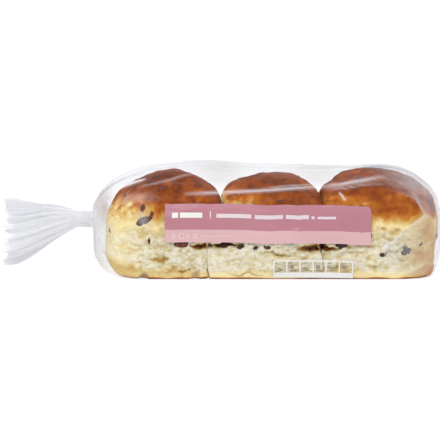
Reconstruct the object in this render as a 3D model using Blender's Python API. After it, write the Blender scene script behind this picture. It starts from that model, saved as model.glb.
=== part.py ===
"""A sealed clear bag of six currant buns, lying on its base.

The buns stand in two rows of three. The film is drawn over them, gathered at the left end into a neck that
a clear tape holds shut, and flares out beyond the tape into a pleated tail. The right end is folded over
and rounded. The bag is one closed solid out to its film, and the tape is a ring round the neck.

Metres, +Z up, +X from the tail towards the folded end, -Y towards the printed front face.
The origin is the centre of the whole object's footprint, at the height of the base.
"""

import math

import bmesh
import bpy

# Driving dimensions of the contents.
END_COLUMN_WIDTH = 0.078
MIDDLE_COLUMN_WIDTH = 0.069
ROW_DEPTH = 0.076
BUN_HEIGHT = 0.067

# How far the film stands off the buns.
TOP_SLACK = 0.004
SIDE_SLACK = 0.0025
END_SLACK = 0.0035
GATHER_SLACK = 0.0110

# Driving dimensions of the gathered end.
TAIL_LENGTH = 0.0515
NECK_LENGTH = 0.010
NECK_RADIUS = 0.0056
NECK_HEIGHT = 0.0346
SHOULDER_LENGTH = 0.048
TAIL_HALF_HEIGHT = 0.0205
TAIL_HALF_DEPTH = 0.0150
TAIL_END_HEIGHT = 0.0262
TAIL_END_FORWARD = 0.006
TAIL_FLARE = 1.6
TAIL_RAGGED = 0.0045
TAIL_HOLLOW = 0.012
PLEATS = 14
TAIL_PLEAT_DEPTH = 0.16
SHOULDER_PLEAT_DEPTH = 0.10

# How the shoulder opens from the neck in depth, at the top and at the base, as opening() reads it.
DEPTH_OPENING = (2.6, 0.5)
TOP_OPENING = (1.6, 0.85)
BASE_OPENING = (3.0, 0.3)
SHOULDER_STEP_CROWDING = 1.6

# Driving dimensions of the folded end and of the film between the buns.
END_ROUNDING = 0.024
END_DEPTH_LOSS = 0.30
END_HEIGHT_LOSS = 0.48
UPPER_ROUNDNESS = 0.72
LOWER_ROUNDNESS = 0.42
BASE_SINK = 0.0035
COLUMN_DIP = 0.0030
COLUMN_DIP_WIDTH = 0.016
ROW_DIP = 0.0025
ROW_DIP_WIDTH = 0.014
SIDE_SCALLOP = 0.0018

# The closing tape.
TAPE_WIDTH = 0.007
TAPE_THICKNESS = 0.0006
TAPE_GAP = 0.0003
TAPE_SEGMENTS = 48

# Mesh resolution of the bag.
RING_POINTS = 84
TAIL_STEPS = 9
NECK_STEPS = 3
SHOULDER_STEPS = 11
BODY_STEPS = 16
END_STEPS = 7

# Places that follow from the sizes above.
BUNS_LENGTH = 2 * END_COLUMN_WIDTH + MIDDLE_COLUMN_WIDTH
HALF_DEPTH = ROW_DEPTH + SIDE_SLACK
TOP_HEIGHT = BUN_HEIGHT + TOP_SLACK
OVERALL_LENGTH = TAIL_LENGTH + NECK_LENGTH + GATHER_SLACK + BUNS_LENGTH + END_SLACK
TAIL_X = -OVERALL_LENGTH / 2
NECK_X = TAIL_X + TAIL_LENGTH
SHOULDER_X = NECK_X + NECK_LENGTH
FULL_X = SHOULDER_X + SHOULDER_LENGTH
RIGHT_X = OVERALL_LENGTH / 2
ROUNDING_X = RIGHT_X - END_ROUNDING
SECOND_JOIN_X = RIGHT_X - END_SLACK - END_COLUMN_WIDTH
FIRST_JOIN_X = SECOND_JOIN_X - MIDDLE_COLUMN_WIDTH
BODY_CENTRE = (0.0, (TOP_HEIGHT - BASE_SINK) / 2)
BODY_HALF_HEIGHT = (TOP_HEIGHT + BASE_SINK) / 2
BODY_ROUNDNESS = (UPPER_ROUNDNESS, LOWER_ROUNDNESS)
ROUND = (1.0, 1.0)


def clear_scene():
    """Removes whatever the open file holds."""
    for obj in list(bpy.data.objects):
        bpy.data.objects.remove(obj, do_unlink=True)


def make_material(name, colour, roughness, metallic=0.0):
    """A plain Principled material."""
    material = bpy.data.materials.new(name)
    material.use_nodes = True
    shader = material.node_tree.nodes["Principled BSDF"]
    shader.inputs["Base Color"].default_value = (*colour, 1.0)
    shader.inputs["Roughness"].default_value = roughness
    shader.inputs["Metallic"].default_value = metallic
    return material


def add_object(name, mesh_builder, material):
    """Turns a bmesh into a named, smooth-shaded object."""
    mesh = bpy.data.meshes.new(name)
    bmesh.ops.recalc_face_normals(mesh_builder, faces=mesh_builder.faces)
    mesh_builder.to_mesh(mesh)
    mesh_builder.free()
    mesh.materials.append(material)
    mesh.shade_smooth()
    mesh.set_sharp_from_angle(angle=math.radians(50))
    obj = bpy.data.objects.new(name, mesh)
    bpy.context.scene.collection.objects.link(obj)
    return obj


def ease(t):
    """A smooth step from 0 to 1."""
    t = min(max(t, 0.0), 1.0)
    return t * t * (3 - 2 * t)


def mix(a, b, t):
    """The value a share t of the way from a to b."""
    return a + (b - a) * t


def bump(offset, width):
    """A smooth bump, 1 at no offset."""
    return math.exp(-((offset / width) ** 2))


def join_nearness(x):
    """1 where two columns of buns meet, falling to 0 over their middles."""
    return sum(bump(x - join, COLUMN_DIP_WIDTH) for join in (FIRST_JOIN_X, SECOND_JOIN_X))


def opening(share, powers):
    """A steep rise from 0 that flattens to 1 as share goes from 0 to 1."""
    fall, rise = powers
    return (1 - (1 - share) ** fall) ** rise


def power(value, exponent):
    """A signed power, for superellipse outlines."""
    return math.copysign(abs(value) ** exponent, value)


def section_point(x, angle, centre, half_depth, half_height, roundness, pleat_depth):
    """A point of the section at x: a superellipse with pleats, its crown and sides dipped between the buns.

    roundness is the pair of powers of its upper and lower half; 1 is an ellipse, and less is boxier.
    """
    centre_y, centre_z = centre
    flute = 1 + pleat_depth * math.cos(PLEATS * angle)
    exponent = roundness[0] if math.sin(angle) > 0 else roundness[1]
    y = half_depth * power(math.cos(angle), exponent) * flute
    z = half_height * power(math.sin(angle), exponent) * flute
    fullness = min(half_depth / HALF_DEPTH, 1.0)
    crown = ease(z / half_height) * fullness
    flank = ease(abs(y) / half_depth) * fullness
    z -= crown * (COLUMN_DIP * join_nearness(x) + ROW_DIP * bump(y, ROW_DIP_WIDTH))
    y -= math.copysign(flank * SIDE_SCALLOP * join_nearness(x), y)
    return x, centre_y + y, max(centre_z + z, 0.0)


def ring(x, centre, half_depth, half_height, roundness, pleat_depth, ragged=0.0):
    """The points of one section, moved along X in step with the pleats where the end is ragged."""
    points = []
    for index in range(RING_POINTS):
        angle = 2 * math.pi * index / RING_POINTS
        shift = ragged * (1 - math.cos(PLEATS * angle + math.sin(3 * angle))) / 2
        points.append(section_point(x + shift, angle, centre, half_depth, half_height, roundness, pleat_depth))
    return points


def tail_rings():
    """The flared tail, from its ragged end to the tape."""
    rings = []
    for step in range(TAIL_STEPS):
        share = step / TAIL_STEPS
        flare = 1 - share**TAIL_FLARE
        droop = 1 - ease(share)
        centre = (-TAIL_END_FORWARD * droop, mix(NECK_HEIGHT, TAIL_END_HEIGHT, droop))
        rings.append(
            ring(
                x=TAIL_X + TAIL_LENGTH * share,
                centre=centre,
                half_depth=mix(NECK_RADIUS, TAIL_HALF_DEPTH, flare),
                half_height=mix(NECK_RADIUS, TAIL_HALF_HEIGHT, flare),
                roundness=ROUND,
                pleat_depth=TAIL_PLEAT_DEPTH * flare,
                ragged=TAIL_RAGGED * (1 - share) ** 2,
            )
        )
    return rings


def neck_rings():
    """The straight neck under the tape."""
    rings = []
    for step in range(NECK_STEPS):
        x = NECK_X + NECK_LENGTH * step / NECK_STEPS
        rings.append(ring(x, (0.0, NECK_HEIGHT), NECK_RADIUS, NECK_RADIUS, ROUND, 0.0))
    return rings


def shoulder_rings():
    """The pleated film that opens from the neck to the full section of the bag."""
    rings = []
    for step in range(SHOULDER_STEPS):
        share = (step / SHOULDER_STEPS) ** SHOULDER_STEP_CROWDING
        swell = opening(share, DEPTH_OPENING)
        top = mix(NECK_HEIGHT + NECK_RADIUS, TOP_HEIGHT, opening(share, TOP_OPENING))
        base = mix(NECK_HEIGHT - NECK_RADIUS, -BASE_SINK, opening(share, BASE_OPENING))
        rings.append(
            ring(
                x=mix(SHOULDER_X, FULL_X, share),
                centre=(0.0, (top + base) / 2),
                half_depth=mix(NECK_RADIUS, HALF_DEPTH, swell),
                half_height=(top - base) / 2,
                roundness=tuple(mix(1.0, full, ease(swell)) for full in BODY_ROUNDNESS),
                pleat_depth=SHOULDER_PLEAT_DEPTH * 4 * swell * (1 - swell),
            )
        )
    return rings


def body_rings():
    """The full section over the three columns of buns."""
    rings = []
    for step in range(BODY_STEPS):
        x = mix(FULL_X, ROUNDING_X, step / BODY_STEPS)
        rings.append(ring(x, BODY_CENTRE, HALF_DEPTH, BODY_HALF_HEIGHT, BODY_ROUNDNESS, 0.0))
    return rings


def end_rings():
    """The rounded right end, closing towards the middle of its flat face."""
    rings = []
    for step in range(END_STEPS + 1):
        angle = math.pi / 2 * step / END_STEPS
        inward = 1 - math.cos(angle)
        rings.append(
            ring(
                x=ROUNDING_X + END_ROUNDING * math.sin(angle),
                centre=BODY_CENTRE,
                half_depth=HALF_DEPTH * (1 - END_DEPTH_LOSS * inward),
                half_height=BODY_HALF_HEIGHT * (1 - END_HEIGHT_LOSS * inward),
                roundness=BODY_ROUNDNESS,
                pleat_depth=0.0,
            )
        )
    return rings


def build_bag(material):
    """One closed solid: tail, neck, shoulder, body and folded end, lofted section by section."""
    builder = bmesh.new()
    rings = tail_rings() + neck_rings() + shoulder_rings() + body_rings() + end_rings()
    rows = [[builder.verts.new(point) for point in points] for points in rings]
    for near, far in zip(rows, rows[1:]):
        for index in range(RING_POINTS):
            after = (index + 1) % RING_POINTS
            builder.faces.new((near[index], near[after], far[after], far[index]))
    cap_tail(builder, rows[0])
    bmesh.ops.contextual_create(builder, geom=rows[-1])
    bmesh.ops.triangulate(builder, faces=builder.faces)
    return add_object("bag", builder, material)


def cap_tail(builder, outline):
    """Closes the tail's end with a shallow hollow, as its gathered film has."""
    centre_y = sum(vertex.co.y for vertex in outline) / RING_POINTS
    centre_z = sum(vertex.co.z for vertex in outline) / RING_POINTS
    centre = builder.verts.new((TAIL_X + TAIL_HOLLOW, centre_y, centre_z))
    for index in range(RING_POINTS):
        after = (index + 1) % RING_POINTS
        builder.faces.new((centre, outline[after], outline[index]))


def build_tape(material):
    """The clear tape round the neck, turned about the neck's axis."""
    inner = NECK_RADIUS + TAPE_GAP
    outer = inner + TAPE_THICKNESS
    left = NECK_X + (NECK_LENGTH - TAPE_WIDTH) / 2
    right = left + TAPE_WIDTH
    builder = bmesh.new()
    corners = [(left, inner), (left, outer), (right, outer), (right, inner)]
    profile = [builder.verts.new((x, 0.0, NECK_HEIGHT + radius)) for x, radius in corners]
    edges = [builder.edges.new((a, b)) for a, b in zip(profile, profile[1:] + profile[:1])]
    bmesh.ops.spin(
        builder,
        geom=profile + edges,
        cent=(0.0, 0.0, NECK_HEIGHT),
        axis=(1.0, 0.0, 0.0),
        angle=2 * math.pi,
        steps=TAPE_SEGMENTS,
        use_merge=True,
    )
    return add_object("neck_tape", builder, material)


def main():
    """Builds the whole object."""
    clear_scene()
    film = make_material("bag_film", colour=(0.86, 0.78, 0.62), roughness=0.25)
    tape = make_material("clear_tape", colour=(0.86, 0.87, 0.88), roughness=0.2)
    build_bag(film)
    build_tape(tape)


main()
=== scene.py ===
"""The looks of a sealed clear bag of six currant buns, lying on its base.

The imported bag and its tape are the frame. Here the bag's solid gives way to its clear film, with a gathered
and taped neck, a pleated tail and a folded end, and to the six buns, their fruit and the print on the film.

Metres, +Z up, +X from the tail towards the folded end, -Y towards the front.
"""

import sys
import logging
import math
from dataclasses import dataclass, field
from enum import Enum
from typing import Callable, Sequence

import bpy
import numpy as np
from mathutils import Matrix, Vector
from mathutils.bvhtree import BVHTree


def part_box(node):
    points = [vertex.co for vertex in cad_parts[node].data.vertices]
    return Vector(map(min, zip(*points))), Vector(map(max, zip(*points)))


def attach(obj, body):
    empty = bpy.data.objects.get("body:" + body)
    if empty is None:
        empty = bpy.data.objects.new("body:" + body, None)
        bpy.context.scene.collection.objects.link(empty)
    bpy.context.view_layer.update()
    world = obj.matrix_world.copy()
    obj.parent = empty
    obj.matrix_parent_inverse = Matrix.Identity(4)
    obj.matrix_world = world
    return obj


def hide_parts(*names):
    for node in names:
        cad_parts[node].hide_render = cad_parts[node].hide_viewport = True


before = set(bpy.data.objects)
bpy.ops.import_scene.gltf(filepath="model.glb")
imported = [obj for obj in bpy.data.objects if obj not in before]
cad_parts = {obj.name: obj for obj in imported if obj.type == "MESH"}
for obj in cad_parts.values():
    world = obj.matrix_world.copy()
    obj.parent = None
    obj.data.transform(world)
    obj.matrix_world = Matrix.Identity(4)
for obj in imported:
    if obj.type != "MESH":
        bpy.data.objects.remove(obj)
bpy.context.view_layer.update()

LOG = logging.getLogger("bag_of_buns")
BODY = "root"
BAG_LOW, BAG_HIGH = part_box("bag")
TAPE_LOW, TAPE_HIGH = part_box("neck_tape")
QUARTER_TURN = np.pi / 2
FULL_TURN = 2 * np.pi
LEVEL = (1, 1, 0)  # the squeeze of noise that is the same at every height
STEEP = 0.7  # the share of Y in a normal from which Z stands better across it

Array = np.ndarray
Material = bpy.types.Material
Triple = tuple[float, float, float]
Colour = Triple
Point = tuple[float, float]
Span = tuple[float, float]
Number = Array | float
Grains = float | Triple
Faces = list[tuple[int, ...]]


# --- helpers


def ease(value: Number, low: float = 0.0, high: float = 1.0) -> Number:
    """A smooth step from 0 at low to 1 at high."""
    t = np.clip((value - low) / (high - low), 0.0, 1.0)
    return t * t * (3 - 2 * t)


def fade(value: Number, low: float = 0.0, high: float = 1.0) -> Number:
    """A smooth step from 1 at low to 0 at high."""
    return 1 - ease(value, low, high)


def mix(a: Number, b: Number, t: Number) -> Number:
    """The value a share t of the way from a to b."""
    return a + (b - a) * t


def bell(offset: Number, width: Number) -> Number:
    """A smooth bump: 1 at no offset, and near 0 beyond twice the width."""
    return np.exp(-((offset / width) ** 2))


def positive(value: Number) -> Number:
    """The value, or 0 where it is negative."""
    return np.maximum(value, 0)


def turns(count: int) -> Array:
    """Evenly spaced angles all the way round, as one row."""
    return np.linspace(0, FULL_TURN, count, endpoint=False)[None, :]


def circle(turn: Array) -> Array:
    """Points on a unit circle across the first two of three axes."""
    return np.stack([np.cos(turn), np.sin(turn), np.zeros_like(turn)], axis=-1)


def arc_lengths(points: Array) -> Array:
    """How far along a line of points each of them lies."""
    return np.concatenate([[0], np.cumsum(np.linalg.norm(np.diff(points, axis=0), axis=1))])


class Relief:
    """Gradient noise in space, about -1 to 1, the same each run for the same seed."""

    CELLS = 256
    OFFSET = 37.3
    GAIN = 1.6
    LAYER_SHIFT = 0.1

    def __init__(self, seed: int) -> None:
        """Draws the lattice."""
        draw = np.random.RandomState(seed)
        self.order = draw.permutation(self.CELLS)
        slopes = draw.normal(size=(self.CELLS, 3))
        self.slopes = slopes / np.linalg.norm(slopes, axis=1)[:, None]

    def _corner(self, cell: Array) -> Array:
        """The lattice's slope at each whole-numbered cell corner."""
        mask = self.CELLS - 1
        x = self.order[cell[..., 0] & mask]
        xy = self.order[(x + cell[..., 1]) & mask]
        return self.slopes[self.order[(xy + cell[..., 2]) & mask]]

    def at(self, points: Array, grain: Grains) -> Array:
        """The noise at points.

        Args:
            points: an array whose last axis is x, y, z in metres.
            grain: the size of the noise's lumps in metres, or one size for each axis.

        Returns:
            One value for each point.
        """
        scaled = points / np.asarray(grain, float) + self.OFFSET
        cell = np.floor(scaled).astype(int)
        part = scaled - cell
        blend = part * part * part * (part * (part * 6 - 15) + 10)
        total = np.zeros(points.shape[:-1])
        for corner in np.ndindex(2, 2, 2):
            step = np.array(corner)
            weight = np.prod(np.where(step == 1, blend, 1 - blend), axis=-1)
            total += weight * np.sum(self._corner(cell + step) * (part - step), axis=-1)
        return total * self.GAIN

    def layered(self, points: Array, grain: Grains, layers: int) -> Array:
        """Noise on noise, each layer half the size and strength of the one before."""
        sizes = np.asarray(grain, float)
        return sum(self.at(points + self.LAYER_SHIFT * k, sizes / 2**k) / 2**k for k in range(layers))


@dataclass(frozen=True)
class Lumps:
    """Relief of one height and grain, in one or more layers."""

    height: float
    grain: Grains
    layers: int = 1

    def at(self, relief: Relief, points: Array) -> Array:
        """How high the lumps stand at points."""
        return self.height * relief.layered(points, self.grain, self.layers)


def grid_normals(grid: Array) -> Array:
    """The outward normals of a grid of points whose second axis closes on itself."""
    along = np.gradient(grid, axis=0)
    around = (np.roll(grid, -1, axis=1) - np.roll(grid, 1, axis=1)) / 2
    normal = np.cross(around, along)
    return normal / np.maximum(np.linalg.norm(normal, axis=-1), 1e-12)[..., None]


def grid_faces(rows: int, columns: int, closed: bool = True) -> Faces:
    """The quads of a grid of rows by columns points.

    Args:
        rows: how many points the first axis has.
        columns: how many the second axis has.
        closed: whether the last column joins the first.

    Returns:
        The quads, as point numbers.
    """
    faces = []
    for row in range(rows - 1):
        for column in range(columns if closed else columns - 1):
            after = (column + 1) % columns
            a, b = row * columns + column, row * columns + after
            faces.append((a, b, b + columns, a + columns))
    return faces


def tube_faces(rings: int, around: int) -> Faces:
    """The faces of a tube of rings of points, with a flat cap at each end."""
    last = (rings - 1) * around
    caps = [tuple(reversed(range(around))), tuple(range(last, last + around))]
    return grid_faces(rings, around) + caps


@dataclass
class Pile:
    """The points and faces of several parts, gathered into one mesh."""

    points: list[Array] = field(default_factory=list)
    faces: Faces = field(default_factory=list)

    def add(self, points: Array, faces: Faces) -> None:
        """Adds a part, and numbers its faces on from the parts before it."""
        first = len(self.points)
        self.points.extend(points.reshape(-1, 3))
        self.faces.extend(tuple(first + index for index in face) for face in faces)

    def tree(self) -> BVHTree:
        """A search tree over the faces."""
        return BVHTree.FromPolygons([Vector(point) for point in self.points], self.faces)


def add_mesh(name: str, points: Sequence, faces: Faces, **masks: Array) -> bpy.types.Object:
    """A smooth-shaded mesh object with one float attribute for each mask.

    Args:
        name: the piece's name.
        points: its vertices, in the frame.
        faces: its faces, as vertex numbers.
        **masks: one value for each vertex, by attribute name.

    Returns:
        The new object, linked to the scene.
    """
    mesh = bpy.data.meshes.new(name)
    mesh.from_pydata(np.asarray(points, float).reshape(-1, 3).tolist(), [], faces)
    for label, values in masks.items():
        attribute = mesh.attributes.new(label, "FLOAT", "POINT")
        attribute.data.foreach_set("value", np.asarray(values, np.float32).ravel())
    mesh.shade_smooth()
    mesh.update()
    piece = bpy.data.objects.new(name, mesh)
    bpy.context.scene.collection.objects.link(piece)
    return piece


def place(piece: bpy.types.Object, slot: str, material: Material, replaces: Sequence[str] = ()) -> None:
    """Gives a piece its material and its ride on the bag.

    Args:
        piece: the object.
        slot: not used.
        material: the object's only material.
        replaces: the nodes that the piece stands in for.
    """
    piece.data.materials.clear()
    piece.data.materials.append(material)
    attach(piece, BODY)
    if replaces:
        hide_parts(*replaces)
    LOG.info("%s: %d faces", piece.name, len(piece.data.polygons))


# --- shader maths


def _operator(operation: str, swapped: bool = False) -> Callable[["Value", "Value | float"], "Value"]:
    """Makes an arithmetic method for Value."""

    def method(value: "Value", other: "Value | float") -> "Value":
        """Joins a value and another term with a Math node."""
        terms = (other, value) if swapped else (value, other)
        return value.graph.node("ShaderNodeMath", {"operation": operation}, dict(enumerate(terms)))

    return method


class Value:
    """A number on a node's socket, with Python's own arithmetic."""

    __add__ = __radd__ = _operator("ADD")
    __sub__ = _operator("SUBTRACT")
    __rsub__ = _operator("SUBTRACT", swapped=True)
    __mul__ = __rmul__ = _operator("MULTIPLY")
    __pow__ = _operator("POWER")

    def __init__(self, graph: "Graph", socket: bpy.types.NodeSocket) -> None:
        """Wraps an output socket of a graph."""
        self.graph = graph
        self.socket = socket

    def clipped(self) -> "Value":
        """The value kept between 0 and 1."""
        return self.graph.node("ShaderNodeClamp", {}, {"Value": self})

    def eased(self, low: float, high: float) -> "Value":
        """A smooth step from 0 at low to 1 at high."""
        links = {"Value": self, "From Min": low, "From Max": high}
        return self.graph.node("ShaderNodeMapRange", {"interpolation_type": "SMOOTHSTEP"}, links)


@dataclass(frozen=True)
class Grain:
    """A shader's noise: lumps to the metre, layers, their strength and the stretch of each axis."""

    scale: float
    detail: float = 3.0
    roughness: float = 0.6
    stretch: Triple = (1.0, 1.0, 1.0)


class Graph:
    """The nodes of a material or of the world, written as expressions."""

    def __init__(self, owner: Material | bpy.types.World) -> None:
        """Empties the owner's node tree."""
        self.owner = owner
        owner.use_nodes = True
        self.tree = owner.node_tree
        self.tree.nodes.clear()

    @classmethod
    def material(cls, name: str) -> "Graph":
        """The nodes of a new material."""
        return cls(bpy.data.materials.new(name))

    def node(self, kind: str, settings: dict, links: dict, output: int | str = 0) -> Value:
        """Adds a node.

        Args:
            kind: the node's type.
            settings: its properties by name, set first. The name stops holds a ramp's (place, colour) pairs.
            links: its inputs by name or number, as numbers, colours or Values.
            output: which of its outputs to return.

        Returns:
            That output.
        """
        made = self.tree.nodes.new(kind)
        for name, setting in settings.items():
            if name == "stops":
                self._set_stops(made.color_ramp, setting)
            else:
                setattr(made, name, setting)
        for name, given in links.items():
            if isinstance(given, Value):
                self.tree.links.new(given.socket, made.inputs[name])
            else:
                made.inputs[name].default_value = given
        return Value(self, made.outputs[output])

    @staticmethod
    def _set_stops(ramp: bpy.types.ColorRamp, stops: Sequence[tuple[float, Colour]]) -> None:
        """Gives a colour ramp its stops."""
        while len(ramp.elements) < len(stops):
            ramp.elements.new(1.0)
        for element, (where, colour) in zip(ramp.elements, stops):
            element.position = where
            element.color = (*colour, 1.0)

    def mask(self, name: str) -> Value:
        """A float attribute of the mesh."""
        return self.node("ShaderNodeAttribute", {"attribute_name": name}, {}, "Fac")

    def noise(self, grain: Grain) -> Value:
        """Noise from 0 to 1, as fine as the grain says, and fixed to the piece."""
        where = self.node("ShaderNodeTexCoord", {}, {}, "Object")
        links = {
            "Vector": self.node(
                "ShaderNodeVectorMath", {"operation": "MULTIPLY"}, {0: where, 1: grain.stretch}
            ),
            "Scale": grain.scale,
            "Detail": grain.detail,
            "Roughness": grain.roughness,
        }
        return self.node("ShaderNodeTexNoise", {}, links, "Fac")

    def ramp(self, value: Value, stops: Sequence[tuple[float, Colour]]) -> Value:
        """A colour ramp."""
        return self.node("ShaderNodeValToRGB", {"stops": stops}, {"Fac": value})

    def blend(self, share: Value, a: Value | Colour, b: Value | Colour) -> Value:
        """Colour b over colour a."""
        links = {0: share, 6: self._colour(a), 7: self._colour(b)}
        return self.node("ShaderNodeMix", {"data_type": "RGBA"}, links, 2)

    @staticmethod
    def _colour(colour: Value | Colour) -> Value | tuple[float, ...]:
        """A colour as a socket takes it."""
        return colour if isinstance(colour, Value) else (*colour, 1.0)

    def bump(self, height: Value, distance: float) -> Value:
        """A normal pushed about by a height, in metres."""
        return self.node("ShaderNodeBump", {}, {"Strength": 1.0, "Distance": distance, "Height": height})

    def principled(self, links: dict) -> Value:
        """A Principled shader."""
        return self.node("ShaderNodeBsdfPrincipled", {}, links)

    def blend_shaders(self, share: Value | float, a: Value, b: Value) -> Value:
        """Shader b over shader a."""
        return self.node("ShaderNodeMixShader", {}, {0: share, 1: a, 2: b})

    def finish(
        self, surface: Value, kind: str = "ShaderNodeOutputMaterial"
    ) -> Material | bpy.types.World:
        """Sends the surface to the output, and returns the graph's owner."""
        output = self.tree.nodes.new(kind)
        self.tree.links.new(surface.socket, output.inputs["Surface"])
        return self.owner


# --- finishes


WHITE = (1.0, 1.0, 1.0, 1.0)


@dataclass(frozen=True)
class BreadFinish:
    """Soft bread: pale fluffy crumb where it was torn, and a satin brown crust where the oven reached it,
    with painted shade in its pores, splits, hollows and tears.
    """

    crumb: Colour = (0.93, 0.87, 0.685)
    straw: Colour = (0.88, 0.72, 0.37)
    golden: Colour = (0.62, 0.385, 0.11)
    amber: Colour = (0.48, 0.148, 0.017)
    brown: Colour = (0.285, 0.06, 0.005)
    dark: Colour = (0.12, 0.022, 0.005)
    # pore_shade: painted shade, the darker colour given to the crumb's pores
    pore_shade: Colour = (0.56, 0.44, 0.2)
    # crevice_shade: painted shade, the grey-brown that the shade mask darkens the tears' hollows towards
    crevice_shade: Colour = (0.17, 0.115, 0.08)
    bake_levels: tuple[float, ...] = (0.0, 0.16, 0.36, 0.57, 0.78, 1.0)
    blotches: Grain = Grain(210.0)
    blotch_share: float = 0.15
    speckles: Grain = Grain(480.0, 4.0, 0.7)
    speckle_share: float = 0.1
    baked_speckle_share: float = 0.42
    pores: Grain = Grain(330.0, 3.0, 0.65, (1.0, 1.0, 1.6))
    pore_levels: Span = (0.58, 0.38)
    pore_share: float = 0.42
    fluff: Grain = Grain(480.0, 4.0, 0.7, (1.0, 1.0, 1.4))
    leather: Grain = Grain(700.0)
    leather_share: float = 0.35
    depth: float = 0.0016
    crumb_roughness: float = 0.95
    crust_shine: float = 0.38
    shiny_bake: Span = (0.3, 0.8)
    sheen: float = 0.08

    def material(self) -> Material:
        """Builds the bread's material from its masks: its darkness, which is baked crust and painted shade,
        where it is torn, and the painted shade in its tears.

        Returns:
            The material.
        """
        graph = Graph.material("bread")
        # this mask holds the crust's browning together with painted shade in the splits, hollows and where
        # domes meet, and a painted shadow at the sole
        bake = graph.mask("bake")
        torn = graph.mask("torn")
        blotches = (graph.noise(self.blotches) - 0.5) * self.blotch_share
        speckles = (graph.noise(self.speckles) - 0.5) * (self.speckle_share + bake * self.baked_speckle_share)
        level = bake + blotches + speckles
        colours = (self.crumb, self.straw, self.golden, self.amber, self.brown, self.dark)
        crust = graph.ramp(level.clipped(), list(zip(self.bake_levels, colours)))
        # painted shade in the crumb's pores: noise darkens the torn crumb towards the pore shade colour
        pores = graph.noise(self.pores).eased(*self.pore_levels) * torn
        colour = graph.blend(pores * self.pore_share, crust, self.pore_shade)
        # painted shade in the tears' notch and wedge, from the shade mask
        colour = graph.blend(graph.mask("shade"), colour, self.crevice_shade)
        fluff = graph.noise(self.fluff) * torn
        leather = graph.noise(self.leather) * (1 - torn) * self.leather_share
        links = {
            "Base Color": colour,
            "Roughness": self.crumb_roughness - (1 - torn) * bake.eased(*self.shiny_bake) * self.crust_shine,
            "Normal": graph.bump(fluff + leather, self.depth),
            "Specular IOR Level": self.sheen,
        }
        return graph.finish(graph.principled(links))


@dataclass(frozen=True)
class FruitFinish:
    """Dried fruit: dark wrinkled skin with a waxy shine."""

    skin: Colour = (0.03, 0.012, 0.01)
    worn: Colour = (0.2, 0.048, 0.016)
    patches: Grain = Grain(240.0, 2.0, 0.5)
    patch_levels: Span = (0.36, 0.62)
    wrinkles: Grain = Grain(620.0)
    depth: float = 0.0009
    roughness: Span = (0.42, 0.67)
    sheen: float = 0.25

    def material(self) -> Material:
        """Builds the fruit's material from its rust mask.

        Returns:
            The material.
        """
        graph = Graph.material("dried_fruit")
        patches = graph.noise(self.patches).eased(*self.patch_levels)
        wrinkles = graph.noise(self.wrinkles)
        smooth, rough = self.roughness
        links = {
            "Base Color": graph.blend(patches * graph.mask("rust"), self.skin, self.worn),
            "Roughness": smooth + wrinkles * (rough - smooth),
            "Specular IOR Level": self.sheen,
            "Normal": graph.bump(wrinkles, self.depth),
        }
        return graph.finish(graph.principled(links))


@dataclass(frozen=True)
class FilmFinish:
    """Thin clear film: see-through, glossy at a slant, and milky where it is creased or lies double; its haze
    mask also carries painted glints and painted reflections along creases.
    """

    name: str = "clear_film"
    tint: Colour = (0.962, 0.969, 0.984)
    milk: Colour = (0.8, 0.8, 0.84)
    cold: Colour = (0.64, 0.79, 1.0)
    dense: Colour = (0.71, 0.715, 0.745)
    least_haze: float = 0.0
    gloss: float = 0.1
    shine_at_front: float = 0.004
    shine_at_edge: float = 0.15
    slant_power: float = 5.0
    milk_roughness: float = 0.3
    fine: Grain = Grain(260.0, 3.0, 0.6, (0.22, 1.0, 1.0))
    broad: Grain = Grain(70.0, 2.0, 0.5, (0.35, 1.0, 1.0))
    fine_share: float = 0.35
    depth: float = 0.0016
    haze_levels: Span = (0.7, 1.3)

    def material(self) -> Material:
        """Builds the film's material from its haze, cool and gathered masks.

        Returns:
            The material.
        """
        graph = Graph.material(self.name)
        fine = graph.noise(self.fine)
        normal = graph.bump(fine * self.fine_share + graph.noise(self.broad), self.depth)
        clear = graph.node("ShaderNodeBsdfTransparent", {}, {"Color": (*self.tint, 1.0)})
        shiny = {"Color": WHITE, "Roughness": self.gloss, "Normal": normal}
        shine = graph.node("ShaderNodeBsdfGlossy", {}, shiny)
        slant = graph.node("ShaderNodeLayerWeight", {}, {"Blend": 0.5, "Normal": normal}, "Facing")
        glare = slant**self.slant_power * self.shine_at_edge + self.shine_at_front
        glassy = graph.blend_shaders(glare.clipped(), clear, shine)
        white = graph.blend(graph.mask("cool"), self.milk, self.cold)
        white = graph.blend(graph.mask("gathered"), white, self.dense)
        cloudy = graph.principled({"Base Color": white, "Roughness": self.milk_roughness, "Normal": normal})
        # the haze mask also holds the creases' painted glints and painted reflections
        least, most = self.haze_levels
        haze = graph.mask("haze") * (least + fine * (most - least)) + self.least_haze
        return graph.finish(graph.blend_shaders(haze.clipped(), glassy, cloudy))


@dataclass(frozen=True)
class InkFinish:
    """Flat ink printed on the film, with the film's own gloss over it."""

    name: str
    colour: Colour
    cover: float = 1.0
    uneven: Grain = Grain(60.0, 2.0, 0.5, (0.25, 1.0, 0.6))
    ripple: Grain = Grain(110.0, 2.0, 0.5, (0.3, 1.0, 1.0))
    depth: float = 0.0012
    roughness: Span = (0.3, 0.4)
    lighter: float = 1.15
    washed: float = 0.02

    def material(self) -> Material:
        """Builds the ink's material.

        Returns:
            The material.
        """
        graph = Graph.material(self.name)
        uneven = graph.noise(self.uneven)
        pale = tuple(min(1.0, channel * self.lighter + self.washed) for channel in self.colour)
        smooth, rough = self.roughness
        links = {
            "Base Color": graph.blend(uneven, self.colour, pale),
            "Roughness": smooth + uneven * (rough - smooth),
            "Alpha": self.cover,
            "Normal": graph.bump(graph.noise(self.ripple), self.depth),
        }
        return graph.finish(graph.principled(links))


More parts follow.
